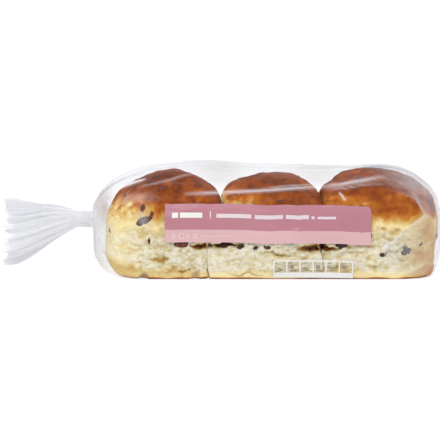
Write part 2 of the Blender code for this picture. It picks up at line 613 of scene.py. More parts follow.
class Ink(Enum):
    """The label's inks."""

    ROSE = InkFinish("rose_ink", (0.376, 0.147, 0.186))
    BLUSH = InkFinish("blush_ink", (0.55, 0.333, 0.35))
    WHITE = InkFinish("white_ink", (0.66, 0.65, 0.63))
    GREY = InkFinish("grey_ink", (0.2, 0.16, 0.13), cover=0.85)
    PALE = InkFinish("pale_ink", (0.66, 0.5, 0.51))
    SOFT = InkFinish("soft_ink", (0.59, 0.49, 0.52))


@dataclass(frozen=True)
class FloorFinish:
    """A pale studio floor that shows only the closest shadows."""

    grey: Colour = (0.9, 0.9, 0.9)
    roughness: float = 0.9
    glow_share: float = 0.8
    glow_strength: float = 1.12

    def material(self) -> Material:
        """Builds the floor's material."""
        graph = Graph.material("studio_floor")
        lit = graph.principled({"Base Color": (*self.grey, 1.0), "Roughness": self.roughness})
        glow = graph.node("ShaderNodeEmission", {}, {"Color": WHITE, "Strength": self.glow_strength})
        return graph.finish(graph.blend_shaders(self.glow_share, lit, glow))


# --- studio


@dataclass(frozen=True)
class Lamp:
    """A rectangular soft light: where its middle is, its width and height, and how bright its face is."""

    name: str
    at: Triple
    size: Point
    strength: float

    def build(self, aim: Vector) -> None:
        """Adds the light.

        Args:
            aim: the point that it faces.
        """
        data = bpy.data.lights.new(self.name, "AREA")
        data.shape = "RECTANGLE"
        data.size, data.size_y = self.size
        data.energy = self.strength * self.size[0] * self.size[1] * math.pi
        light = bpy.data.objects.new(self.name, data)
        light.location = self.at
        light.rotation_mode = "QUATERNION"
        light.rotation_quaternion = (aim - Vector(self.at)).to_track_quat("-Z", "Y")
        bpy.context.scene.collection.objects.link(light)


@dataclass
class Studio:
    """The camera, lights and floor."""

    distance: float = 1.8
    elevation: float = 5.0
    aim_height: float = 0.0338
    scale: float = 0.0007
    image_width: int = 440
    sensor: float = 36.0
    clip: Span = (0.05, 1000.0)
    lamps: tuple[Lamp, ...] = (
        Lamp("key", (-0.35, -0.95, 0.95), (0.9, 0.5), 4.0),
        Lamp("strip", (0.05, 0.22, 0.85), (1.3, 0.05), 9.0),
        Lamp("side", (1.0, -0.35, 0.45), (0.3, 0.5), 2.4),
    )
    lamp_aim: Triple = (0.03, 0.0, 0.03)
    surround: Point = (0.75, 1.05)
    surround_rise: Span = (0.05, 0.75)
    floor_half: float = 400.0

    def camera_basis(self) -> tuple[Array, Array, Array, Array]:
        """The camera's place and its forward, right and up directions."""
        tilt = math.radians(self.elevation)
        forward = np.array([0.0, math.cos(tilt), -math.sin(tilt)])
        right = np.array([1.0, 0.0, 0.0])
        up = np.array([0.0, math.sin(tilt), math.cos(tilt)])
        return np.array([0.0, 0.0, self.aim_height]) - forward * self.distance, forward, right, up

    def ray(self, pixel: Point) -> tuple[Vector, Vector]:
        """The sight line through a pixel of the camera's square image.

        Args:
            pixel: its column and row.

        Returns:
            The camera's place and the line's direction.
        """
        eye, forward, right, up = self.camera_basis()
        middle = self.image_width / 2
        across = (pixel[0] - middle) * self.scale / self.distance
        above = (middle - pixel[1]) * self.scale / self.distance
        way = forward + right * across + up * above
        return Vector(eye), Vector(way / np.linalg.norm(way))

    def add_camera(self) -> None:
        """Creates the camera at the object's viewing angle."""
        data = bpy.data.cameras.new("camera")
        data.sensor_width = self.sensor
        data.lens = self.sensor * self.distance / (self.scale * self.image_width)
        data.clip_start, data.clip_end = self.clip
        camera = bpy.data.objects.new("camera", data)
        eye, forward, _, _ = self.camera_basis()
        camera.location = eye
        camera.rotation_mode = "QUATERNION"
        camera.rotation_quaternion = Vector(forward).to_track_quat("-Z", "Y")
        bpy.context.scene.collection.objects.link(camera)
        bpy.context.scene.camera = camera

    def add_surround(self) -> None:
        """Lights everything from a pale surround that brightens upwards."""
        graph = Graph(bpy.data.worlds.new("surround"))
        way = graph.node("ShaderNodeTexCoord", {}, {}, "Generated")
        height = graph.node("ShaderNodeSeparateXYZ", {}, {0: way}, "Z")
        stops = [(float(place), (grey,) * 3) for place, grey in enumerate(self.surround)]
        glow = graph.ramp(height.eased(*self.surround_rise), stops)
        sky = graph.node("ShaderNodeBackground", {}, {"Color": glow})
        bpy.context.scene.world = graph.finish(sky, "ShaderNodeOutputWorld")
        bpy.context.scene.view_settings.view_transform = "Standard"

    def add_floor(self) -> None:
        """Lays a wide plain floor."""
        half = self.floor_half
        corners = [(-half, -half, 0), (half, -half, 0), (half, half, 0), (-half, half, 0)]
        floor = add_mesh("studio_floor", corners, [(0, 1, 2, 3)])
        floor.data.materials.append(FloorFinish().material())

    def build(self) -> None:
        """Builds the whole studio."""
        self.add_camera()
        for lamp in self.lamps:
            lamp.build(Vector(self.lamp_aim))
        self.add_surround()
        self.add_floor()


# --- buns


class Row(Enum):
    """Which row a bun stands in, as the sign of its place along Y."""

    FRONT = -1
    BACK = 1


@dataclass(frozen=True)
class Tear:
    """A gaping tear in a bun's front, like a lens: its middle, half its size, depth and slope, and how much
    painted shade darkens its hollow.
    """

    x: float
    z: float
    half_length: float
    half_height: float
    depth: float
    slope: float = 0.0
    # shade: how much painted shade darkens the tear's hollow
    shade: float = 0.0
    bluntness: float = 0.6

    def gape(self, points: Array, ragged: Array) -> Array:
        """How far open the tear is at each point."""
        across = points[..., 0] - self.x
        along = across / self.half_length
        off = (points[..., 2] - self.z - self.slope * across + ragged) / self.half_height
        return positive(1 - along**2 - off**2) ** self.bluntness


@dataclass
class Form:
    """A bun's smooth form, and its masks as they are worked out, with a value for each point."""

    grid: Array
    turn: Array
    opened: Array
    relief: Relief
    normals: Array = field(init=False)
    above: Array = field(init=False)
    torn: Array = field(init=False)
    seam: Array = field(init=False)
    fluff: Array = field(init=False)
    fissure: Array = field(init=False)
    shade: Array = field(init=False)

    def __post_init__(self) -> None:
        """Works out the normals."""
        self.normals = grid_normals(self.grid)

    @property
    def height(self) -> Array:
        """The height of each point."""
        return self.grid[..., 2]

    @property
    def steep(self) -> Array:
        """How upright the surface stands at each point, from 0 to 1."""
        return 1 - np.abs(self.normals[..., 2])

    def lumps(self, kind: Lumps, squeeze: Sequence[float] = (1, 1, 1), shift: float = 0.0) -> Array:
        """How high one kind of lumps stands at each point, in a squeezed and shifted copy of the form."""
        return kind.at(self.relief, self.grid * squeeze + shift)


@dataclass(frozen=True)
class Crumb:
    """A bun's relief: soft lumps, torn fluff, a ragged seam above the base and the lobes below it."""

    lumps: Lumps = Lumps(0.0017, 0.034)
    dents: Lumps = Lumps(0.001, 0.015)
    lumps_from: Span = (0.0, 0.01)
    torn_above: Span = (-0.1, 0.25)
    torn_from: Span = (0.003, 0.007)
    calm_ends: float = 0.8
    seam_height: float = 0.0185
    seam_waves: Lumps = Lumps(0.0065, 0.023)
    seam_shift: float = 0.2
    seam_nibbles: Lumps = Lumps(0.0024, 0.009)
    gapes: Lumps = Lumps(1.0, 0.017)
    gape_levels: Span = (-0.05, 0.55)
    fissure_widths: Span = (0.0006, 0.0019)
    fissure_depth: float = 0.005
    least_fissure: float = 0.12
    fissure_calm_ends: float = 0.7
    tear_face: Span = (0.048, 0.062)
    tear_face_calm: float = 0.9
    tear_edge: Lumps = Lumps(0.0022, 0.006, 2)
    below_seam: Span = (-0.001, 0.004)
    lobes_from: Span = (0.0, 0.005)
    lobe_swell: float = 0.001
    lobes: Lumps = Lumps(0.0026, 0.024)
    lobe_squeeze: Triple = (1, 1, 0.3)
    ridges: Lumps = Lumps(1.0, (0.0105, 0.0105, 0.007), 3)
    ridge_level: float = 0.78
    ridge_height: float = 0.0033
    crumbs: Lumps = Lumps(0.0013, (0.004, 0.004, 0.003), 3)
    skin: Lumps = Lumps(0.00045, 0.007, 3)
    skin_from: Span = (0.02, 0.04)

    def tear(self, form: Form, tears: Sequence[Tear]) -> None:
        """Works out the bun's torn side, its seam, the fluff on it, the splits in it and the painted shade in
        its tears.

        Args:
            form: the bun's form, which gets the masks.
            tears: the tears in its front, which take the place of the splits there.
        """
        side = fade(form.above, *self.torn_above) * ease(form.height, *self.torn_from)
        form.torn = side * (1 - self.calm_ends * form.opened)
        form.seam = self.seam_height + form.lumps(self.seam_waves, LEVEL, self.seam_shift)
        form.seam = form.seam + form.lumps(self.seam_nibbles, LEVEL)
        ridges = self.ridge_height * (1 - np.abs(form.lumps(self.ridges)) - self.ridge_level)
        form.fluff = form.torn * (ridges + form.lumps(self.crumbs))
        gape = ease(form.lumps(self.gapes, LEVEL), *self.gape_levels)
        split = bell(form.height - form.seam, mix(*self.fissure_widths, gape))
        split = split * mix(self.least_fissure, 1, gape) * form.steep
        split = split * (1 - self.fissure_calm_ends * form.opened)
        facing = ease(-form.grid[..., 1], *self.tear_face) * bool(tears)
        form.fissure = split * (1 - self.tear_face_calm * facing)
        # painted shade in the tears' hollows, which later darkens the bread's colour
        form.shade = np.zeros_like(form.height)
        ragged = form.lumps(self.tear_edge)
        for tear in tears:
            opening = tear.gape(form.grid, ragged) * facing
            form.fissure = np.maximum(form.fissure, opening * tear.depth / self.fissure_depth)
            form.shade = np.maximum(form.shade, opening * tear.shade)

    def moved(self, form: Form) -> Array:
        """How far each point moves out from the smooth form.

        Args:
            form: the bun's form, with its masks.

        Returns:
            The distance along each normal.
        """
        lumps = (form.lumps(self.lumps) + form.lumps(self.dents)) * ease(form.height, *self.lumps_from)
        skin = (1 - form.torn) * ease(form.height, *self.skin_from) * form.lumps(self.skin)
        below = ease(form.seam - form.height, *self.below_seam) * ease(form.height, *self.lobes_from)
        lobes = below * (self.lobe_swell + form.lumps(self.lobes, self.lobe_squeeze))
        lobes = lobes * (1 - self.calm_ends * form.opened) * form.steep
        return lumps + form.fluff + skin + lobes - self.fissure_depth * form.fissure


@dataclass(frozen=True)
class Crust:
    """How dark a bun's bread is: the oven's browning of its dome, the rim of its base and its sides at the
    ends of the row, with painted shade in its splits and hollows and where its dome meets the next, and a
    painted contact shadow along its sole.
    """

    edge: float = 0.0352
    band: float = 0.015
    inner_rise: float = 0.007
    edge_waves: Lumps = Lumps(0.0055, 0.022)
    edge_nibbles: Lumps = Lumps(0.0022, 0.007, 2)
    edge_bake: float = 0.15
    edge_middle: float = 0.05
    edge_width: float = 0.45
    dome: float = 0.75
    dome_bake: float = 0.0
    dome_patches: Lumps = Lumps(0.13, 0.024, 3)
    dome_freckles: Lumps = Lumps(0.13, 0.006, 3)
    crown_bake: float = 0.15
    crown: Span = (0.054, 0.069)
    pale_left: float = 0.0
    pale_side: Span = (-0.25, 0.55)
    pale_up_to: Span = (0.05, 0.061)
    pale_patches: Lumps = Lumps(1.0, 0.01, 3)
    veins: Lumps = Lumps(1.0, (0.011, 0.011, 0.007), 2)
    vein_width: float = 0.07
    vein_bake: float = 0.22
    # painted shade on the right of the dome, where it meets the next dome
    right_shade: float = 0.0
    right_shade_side: Span = (0.55, 0.95)
    right_shade_up_to: Span = (0.048, 0.06)
    end_bake: float = 0.33
    end_patches: Lumps = Lumps(0.12, 0.012, 2)
    end_from: Span = (0.004, 0.012)
    rim_height: float = 0.007
    rim_waves: Lumps = Lumps(0.6, 0.022)
    open_rim_growth: float = 0.8
    rim_solid: float = 0.5
    rim_bake: float = 0.26
    open_rim_bake: float = 0.29
    # the sole's darkening is the base's own crust and also a painted contact shadow along the bun's foot
    sole_crust_and_shadow: float = 0.75
    sole_waves: Lumps = Lumps(0.0008, 0.012)
    sole: Span = (0.0007, 0.0021)
    # painted shade in the hollows of the torn crumb
    hollow_shade: float = 0.13
    hollows: Span = (-0.0002, 0.0018)
    # painted shade in the splits, darker where they are deeper
    fissure_shade: float = 0.42
    deep_shade: float = 0.45
    deep: Span = (0.65, 1.15)

    def above_edge(self, form: Form, inner: Array) -> Array:
        """How far each point is above the crust's ragged edge, in widths of the edge's band."""
        edge = self.edge + self.inner_rise * inner
        edge = edge + form.lumps(self.edge_waves, LEVEL) + form.lumps(self.edge_nibbles)
        return (form.height - edge) / self.band

    def dome_level(self, form: Form) -> Array:
        """How dark the dome is at each point, with painted shade on its right where it meets the next dome.
        """
        level = self.dome + form.lumps(self.dome_patches) + form.lumps(self.dome_freckles)
        if self.pale_left > 0:
            pale = ease(-np.cos(form.turn), *self.pale_side) * fade(form.height, *self.pale_up_to)
            veins = bell(form.lumps(self.veins), self.vein_width) * pale
            pale = self.pale_left * pale * (1 + form.lumps(self.pale_patches))
            level = level - pale + self.vein_bake * veins
        # painted shade on the right side, low on the dome
        dark = ease(np.cos(form.turn), *self.right_shade_side) * fade(form.height, *self.right_shade_up_to)
        crown = self.crown_bake * ease(form.height, *self.crown)
        return level + self.right_shade * dark + self.dome_bake + crown

    def rim_level(self, form: Form) -> Array:
        """How dark the base and its rim are at each point: their crust, and a painted contact shadow along
        the sole.
        """
        reach = self.rim_height * (1 + form.lumps(self.rim_waves, LEVEL))
        reach = reach * (1 + self.open_rim_growth * form.opened)
        rim = mix(self.rim_bake, self.open_rim_bake, form.opened)
        rim = rim * fade(form.height, reach * self.rim_solid, reach)
        # the sole: crust and painted contact shadow
        return rim + self.sole_crust_and_shadow * fade(form.height + form.lumps(self.sole_waves), *self.sole)

    def bake(self, form: Form) -> Array:
        """How dark the bread is at each point: the crust's browning, with painted shade in the splits and
        hollows and where the domes meet, and a painted contact shadow along the sole.

        Args:
            form: the bun's form, with its masks.

        Returns:
            From 0 for pale crumb to 1 for the darkest crust.
        """
        band = self.edge_bake * bell(form.above - self.edge_middle, self.edge_width)
        top = ease(form.above) * self.dome_level(form) + band
        end = np.sqrt(form.opened) * (self.end_bake + form.lumps(self.end_patches))
        crust = np.maximum(np.maximum(top, end * ease(form.height, *self.end_from)), self.rim_level(form))
        # painted shade in the crumb's hollows, where the fluff sinks
        hollow = form.torn * self.hollow_shade * ease(-form.fluff, *self.hollows)
        # painted shade in the splits, darkest where they are deepest
        split = self.fissure_shade * form.fissure + self.deep_shade * ease(form.fissure, *self.deep)
        return np.clip(crust + hollow + split, 0, 1)


@dataclass
class Bun:
    """One soft bun: a browned dome over a torn, fluffy side with a ragged seam above its base."""

    name: str
    left: float
    right: float
    row: Row
    height: float
    seed: int
    open_left: bool = False
    open_right: bool = False
    crust: Crust = Crust()
    crumb: Crumb = Crumb()
    tears: tuple[Tear, ...] = ()
    row_depth: float = 0.076
    peak_shift: float = 0.0
    left_power: float = 2.2
    right_power: float = 2.2
    outer_power: float = 2.3
    inner_power: float = 2.1
    left_corner: float = 9.0
    right_corner: float = 14.0
    open_corner: float = 3.3
    crown_corner: float = 2.1
    corner_blend: Span = (0.2, 0.8)
    crown_blend: Span = (0.0, 0.7)
    outer_dome_base: float = 0.039
    inner_dome_base: float = 0.0475
    open_dome_base: float = 0.0345
    open_facing: Span = (0.2, 1.0)
    base_gap: float = 0.0005
    heel_power: float = 2.5
    heel_share: float = 0.96
    heel_height: float = 0.0065
    open_heel_share: float = 0.66
    open_heel_height: float = 0.023
    joint_heel_share: float = 0.96
    joint_heel_height: float = 0.0065
    joint_heel_width: float = 0.2
    press: float = 0.0018
    pressed_up_to: Span = (0.036, 0.051)
    left_lean: float = 0.0
    right_lean: float = 0.0
    leaning_up_to: Span = (0.018, 0.048)
    contact_gap: float = 0.0001
    face_seed: int = 97
    column_waves: Lumps = Lumps(0.0024, 0.016)
    row_waves: Lumps = Lumps(0.001, 0.016)
    around: int = 400
    base_rings: int = 7
    heel_rings: int = 14
    side_rings: int = 44
    dome_rings: int = 60
    disc_start: float = 0.05
    ring_crowding: float = 1.15
    dome_reach: float = 0.986
    grid: Array | None = field(init=False, default=None)

    @property
    def middle(self) -> Array:
        """The middle of the bun's footprint."""
        return np.array([(self.left + self.right) / 2, self.row.value * self.row_depth / 2])

    @property
    def half(self) -> Array:
        """Half the bun's width and depth."""
        return np.array([(self.right - self.left) / 2, self.row_depth / 2])

    def by_side(self, turn: Array, right: float, left: float, outer: float, inner: float) -> Array:
        """A value that changes smoothly round the bun between those of its four sides."""
        away = np.sin(turn) * self.row.value
        across = np.cos(turn)
        ends = right * positive(across) ** 2 + left * positive(-across) ** 2
        return ends + outer * positive(away) ** 2 + inner * positive(-away) ** 2

    def dome_base(self, turn: Array) -> Array:
        """The height at which the dome starts, which is lower on the open sides."""
        right = self.open_dome_base if self.open_right else self.inner_dome_base
        left = self.open_dome_base if self.open_left else self.inner_dome_base
        return self.by_side(turn, right, left, self.outer_dome_base, self.inner_dome_base)

    def openness(self, turn: Array) -> Array:
        """How far each direction faces an end of the bag, from 0 to 1."""
        right = positive(np.cos(turn)) * self.open_right
        left = positive(-np.cos(turn)) * self.open_left
        return ease(right + left, *self.open_facing)

    def plan_radius(self, turn: Array, rise: Array) -> Array:
        """How far the footprint reaches in a direction: boxy at the side, and round at the crown.

        Args:
            turn: the directions.
            rise: how far up the dome each ring is, from 0 to 1.

        Returns:
            The distance from the bun's middle.
        """
        left = self.open_corner if self.open_left else self.left_corner
        right = self.open_corner if self.open_right else self.right_corner
        corner = mix(left, right, ease((1 + np.cos(turn)) / 2, *self.corner_blend))
        power = mix(corner, self.crown_corner, ease(rise, *self.crown_blend))
        across = np.abs(np.cos(turn) / self.half[0]) ** power
        away = np.abs(np.sin(turn) / self.half[1]) ** power
        return (across + away) ** (-1 / power)

    def heel(self, turn: Array) -> tuple[Array, Array]:
        """How far the flat base reaches and how high its rounded edge rises, round the bun.

        Args:
            turn: the directions.

        Returns:
            The base's share of the footprint and the edge's height.
        """
        opened = self.openness(turn)
        corner = np.arctan2(self.row.value * self.half[1], self.half[0])
        off_corner = np.angle(np.exp(1j * (turn - corner)))
        jointed = bell(off_corner, self.joint_heel_width) * (not self.open_right)
        share = mix(mix(self.heel_share, self.open_heel_share, opened), self.joint_heel_share, jointed)
        height = mix(mix(self.heel_height, self.open_heel_height, opened), self.joint_heel_height, jointed)
        return share, height

    def profile(self, turn: Array) -> tuple[Array, Array]:
        """The bun's outline from the middle of its base to its crown, round the bun.

        Args:
            turn: the directions.

        Returns:
            The share of the footprint and the height, as rings by directions.
        """
        heel_share, heel_height = self.heel(turn)
        disc = np.linspace(self.disc_start, 1, self.base_rings, endpoint=False)[:, None]
        heel = np.linspace(0, QUARTER_TURN, self.heel_rings, endpoint=False)[:, None]
        side = np.linspace(0, 1, self.side_rings, endpoint=False)[:, None]
        arc = np.linspace(0, 1, self.dome_rings)[:, None] ** self.ring_crowding
        arc = arc * self.dome_reach * QUARTER_TURN
        base = self.dome_base(turn)
        power = self.by_side(turn, self.right_power, self.left_power, self.outer_power, self.inner_power)
        flat = np.ones_like(turn)
        shares = [
            disc * heel_share,
            heel_share + (1 - heel_share) * np.sin(heel) ** (2 / self.heel_power),
            np.ones_like(side) * flat,
            np.cos(arc) ** (2 / power),
        ]
        heights = [
            np.zeros_like(disc) * flat,
            heel_height * (1 - np.cos(heel) ** (2 / self.heel_power)),
            mix(heel_height, base, side),
            base + (self.height - base) * np.sin(arc) ** (2 / power),
        ]
        return np.concatenate(shares), np.concatenate(heights)

    def smooth_grid(self, turn: Array) -> Array:
        """The bun's smooth form.

        Args:
            turn: the directions.

        Returns:
            Rings of points, from the middle of the base to the crown.
        """
        share, height = self.profile(turn)
        base = self.dome_base(turn)
        rise = np.clip((height - base) / (self.height - base), 0, 1)
        reach = share * self.plan_radius(turn, rise)
        shift = self.peak_shift * (1 - share) * (rise > 0)
        across = reach * np.cos(turn)
        pressed = self.press * fade(height, *self.pressed_up_to) * np.clip(across / self.half[0], -1, 1)
        met = np.where(across > 0, not self.open_right, not self.open_left)
        x = self.middle[0] + shift + across + pressed * met
        y = self.middle[1] + reach * np.sin(turn)
        return np.stack([x, y, height + self.base_gap], axis=-1)

    def textured(self) -> tuple[Array, dict[str, Array]]:
        """The bun's surface.

        Returns:
            Its rings of points, and its masks by name: its darkness, which is crust and painted shade, where
            it is torn, and the painted shade in its tears.
        """
        turn = turns(self.around)
        form = Form(self.smooth_grid(turn), turn, self.openness(turn), Relief(self.seed))
        inner = ease(self.dome_base(turn), self.outer_dome_base, self.inner_dome_base)
        form.above = self.crust.above_edge(form, inner)
        self.crumb.tear(form, self.tears)
        points = form.grid + form.normals * self.crumb.moved(form)[..., None]
        points[..., 2] = np.maximum(points[..., 2], self.base_gap)
        masks = {"bake": self.crust.bake(form), "torn": form.torn, "shade": form.shade}
        return self.leaned(self.flattened(points)), masks

    def leaned(self, points: Array) -> Array:
        """Leans the faces where the bun meets its neighbours along X, most at the base."""
        across = (points[..., 0] - self.middle[0]) / self.half[0]
        shift = self.right_lean * np.clip(across, 0, 1) + self.left_lean * np.clip(-across, 0, 1)
        points[..., 0] += shift * fade(points[..., 2], *self.leaning_up_to)
        return points

    def flattened(self, points: Array) -> Array:
        """Keeps the bun on its own side of the wavy faces where it meets its neighbours.

        Args:
            points: the bun's points, which are changed.

        Returns:
            The same points.
        """
        gap = self.contact_gap
        waves = Relief(self.face_seed)
        along_y = points * (0, 1, 1)
        if not self.open_left:
            face = self.left + self.column_waves.at(waves, along_y + (self.left, 0, 0))
            points[..., 0] = np.maximum(points[..., 0], face + gap)
        if not self.open_right:
            face = self.right + self.column_waves.at(waves, along_y + (self.right, 0, 0))
            points[..., 0] = np.minimum(points[..., 0], face - gap)
        middle = self.row_waves.at(waves, points * (1, 0, 1))
        limit = np.minimum if self.row is Row.FRONT else np.maximum
        points[..., 1] = limit(points[..., 1], middle + self.row.value * gap)
        return points

    def build(self, material: Material) -> None:
        """Builds the bun as one closed mesh.

        Args:
            material: the bread's material.
        """
        self.grid, masks = self.textured()
        rings, around = self.grid.shape[:2]
        low = rings * around
        last = low - around
        faces = grid_faces(rings, around)
        for index in range(around):
            after = (index + 1) % around
            faces += [(low, after, index), (low + 1, last + index, last + after)]
        poles = [self.grid[0].mean(axis=0), self.grid[-1].mean(axis=0)]
        points = np.concatenate([self.grid.reshape(-1, 3), poles])
        ends = {name: (values[0].mean(), values[-1].mean()) for name, values in masks.items()}
        full = {name: np.concatenate([values.ravel(), ends[name]]) for name, values in masks.items()}
        place(add_mesh(self.name, points, faces, **full), "bread", material)


@dataclass
class Batch:
    """The six buns, in two rows of three."""

    widths: tuple[float, ...] = (0.078, 0.069, 0.0785)
    end_slack: float = 0.0028
    first_seed: int = 11
    seed_step: int = 10
    front_leans: tuple[float, ...] = (0.0, -0.0085, -0.001, 0.0)
    back_leans: tuple[float, ...] = (0.0, 0.003, -0.004, 0.0)
    front: tuple[dict, ...] = (
        dict(
            height=0.0705,
            peak_shift=0.01,
            left_power=1.92,
            right_power=1.72,
            right_corner=22.0,
            joint_heel_share=0.93,
            joint_heel_height=0.007,
            crust=Crust(rim_height=0.011, pale_left=0.34, right_shade=0.22, dome_bake=0.05, end_bake=0.11),
            tears=(
                Tear(-0.04, 0.0135, 0.0075, 0.0026, 0.004, 0.1),
                Tear(-0.007, 0.0225, 0.01, 0.0017, 0.006, -0.05),
                # the notch and the wedge at the foot carry painted shade
                Tear(-0.0515, 0.001, 0.0042, 0.0034, 0.0008, 0.0, 0.75),
                Tear(-0.011, 0.001, 0.005, 0.006, 0.0004, 0.5, 0.55),
                Tear(-0.022, 0.0062, 0.014, 0.0007, 0.002, 0.06),
            ),
        ),
        dict(
            height=0.0696,
            peak_shift=0.0015,
            left_power=1.95,
            right_power=2.0,
            left_corner=18.0,
            right_corner=26.0,
            crust=Crust(rim_bake=0.14, pale_left=0.3, right_shade=0.1),
            tears=(
                Tear(0.008, 0.0235, 0.012, 0.0016, 0.006, 0.02),
                Tear(0.039, 0.017, 0.012, 0.0008, 0.003, -0.12),
                Tear(0.063, 0.0222, 0.012, 0.0022, 0.006, 0.12),
                Tear(0.02, 0.004, 0.011, 0.0006, 0.0015),
            ),
        ),
        dict(
            height=0.0715,
            peak_shift=-0.0085,
            left_power=2.2,
            right_power=2.35,
            left_corner=26.0,
            open_heel_share=0.84,
            open_heel_height=0.017,
            crust=Crust(
                edge=0.0366,
                band=0.013,
                rim_height=0.009,
                rim_bake=0.16,
                open_rim_bake=0.6,
                end_bake=0.42,
                pale_left=0.16,
            ),
            tears=(
                Tear(0.07, 0.0222, 0.012, 0.0022, 0.006, -0.12),
                Tear(0.09, 0.0185, 0.011, 0.0006, 0.002, 0.05),
                Tear(0.115, 0.019, 0.01, 0.0007, 0.002, 0.1),
            ),
        ),
    )
    back: tuple[dict, ...] = (
        dict(height=0.0645, inner_dome_base=0.0435, left_power=2.0, right_power=1.9),
        dict(height=0.0625, inner_dome_base=0.0435, left_power=2.1, right_power=2.0),
        dict(height=0.065, inner_dome_base=0.0435, left_power=2.0, right_power=2.2),
    )

    def columns(self) -> list[Span]:
        """The left and right edge of each column."""
        edge = BAG_HIGH.x - self.end_slack - sum(self.widths)
        found = []
        for width in self.widths:
            found.append((edge, edge + width))
            edge += width
        return found

    def buns(self) -> list[Bun]:
        """Lays out the six buns.

        Returns:
            The front row from left to right, and then the back row.
        """
        made = []
        rows = ((Row.FRONT, self.front, self.front_leans), (Row.BACK, self.back, self.back_leans))
        for row, shapes, leans in rows:
            for column, (left, right) in enumerate(self.columns()):
                made.append(
                    Bun(
                        name=f"bun_{row.name.lower()}_{column + 1}",
                        left=left,
                        right=right,
                        row=row,
                        seed=self.first_seed + self.seed_step * column + row.value,
                        open_left=column == 0,
                        open_right=column == len(self.widths) - 1,
                        left_lean=leans[column],
                        right_lean=leans[column + 1],
                        **shapes[column],
                    )
                )
        return made


def surface_tree(buns: Sequence[Bun]) -> BVHTree:
    """Makes one search tree over all the built buns, at half their resolution."""
    pile = Pile()
    for bun in buns:
        coarse = bun.grid[::2, ::2]
        pile.add(coarse, tube_faces(*coarse.shape[:2]))
    return pile.tree()


# --- fruit


@dataclass(frozen=True)
class Fruit:
    """A currant or raisin, sunk into the bread where the sight line through a pixel meets it."""

    seen_at: Point
    length: float
    plump: float
    proud: float
    rust: float
    turn: float


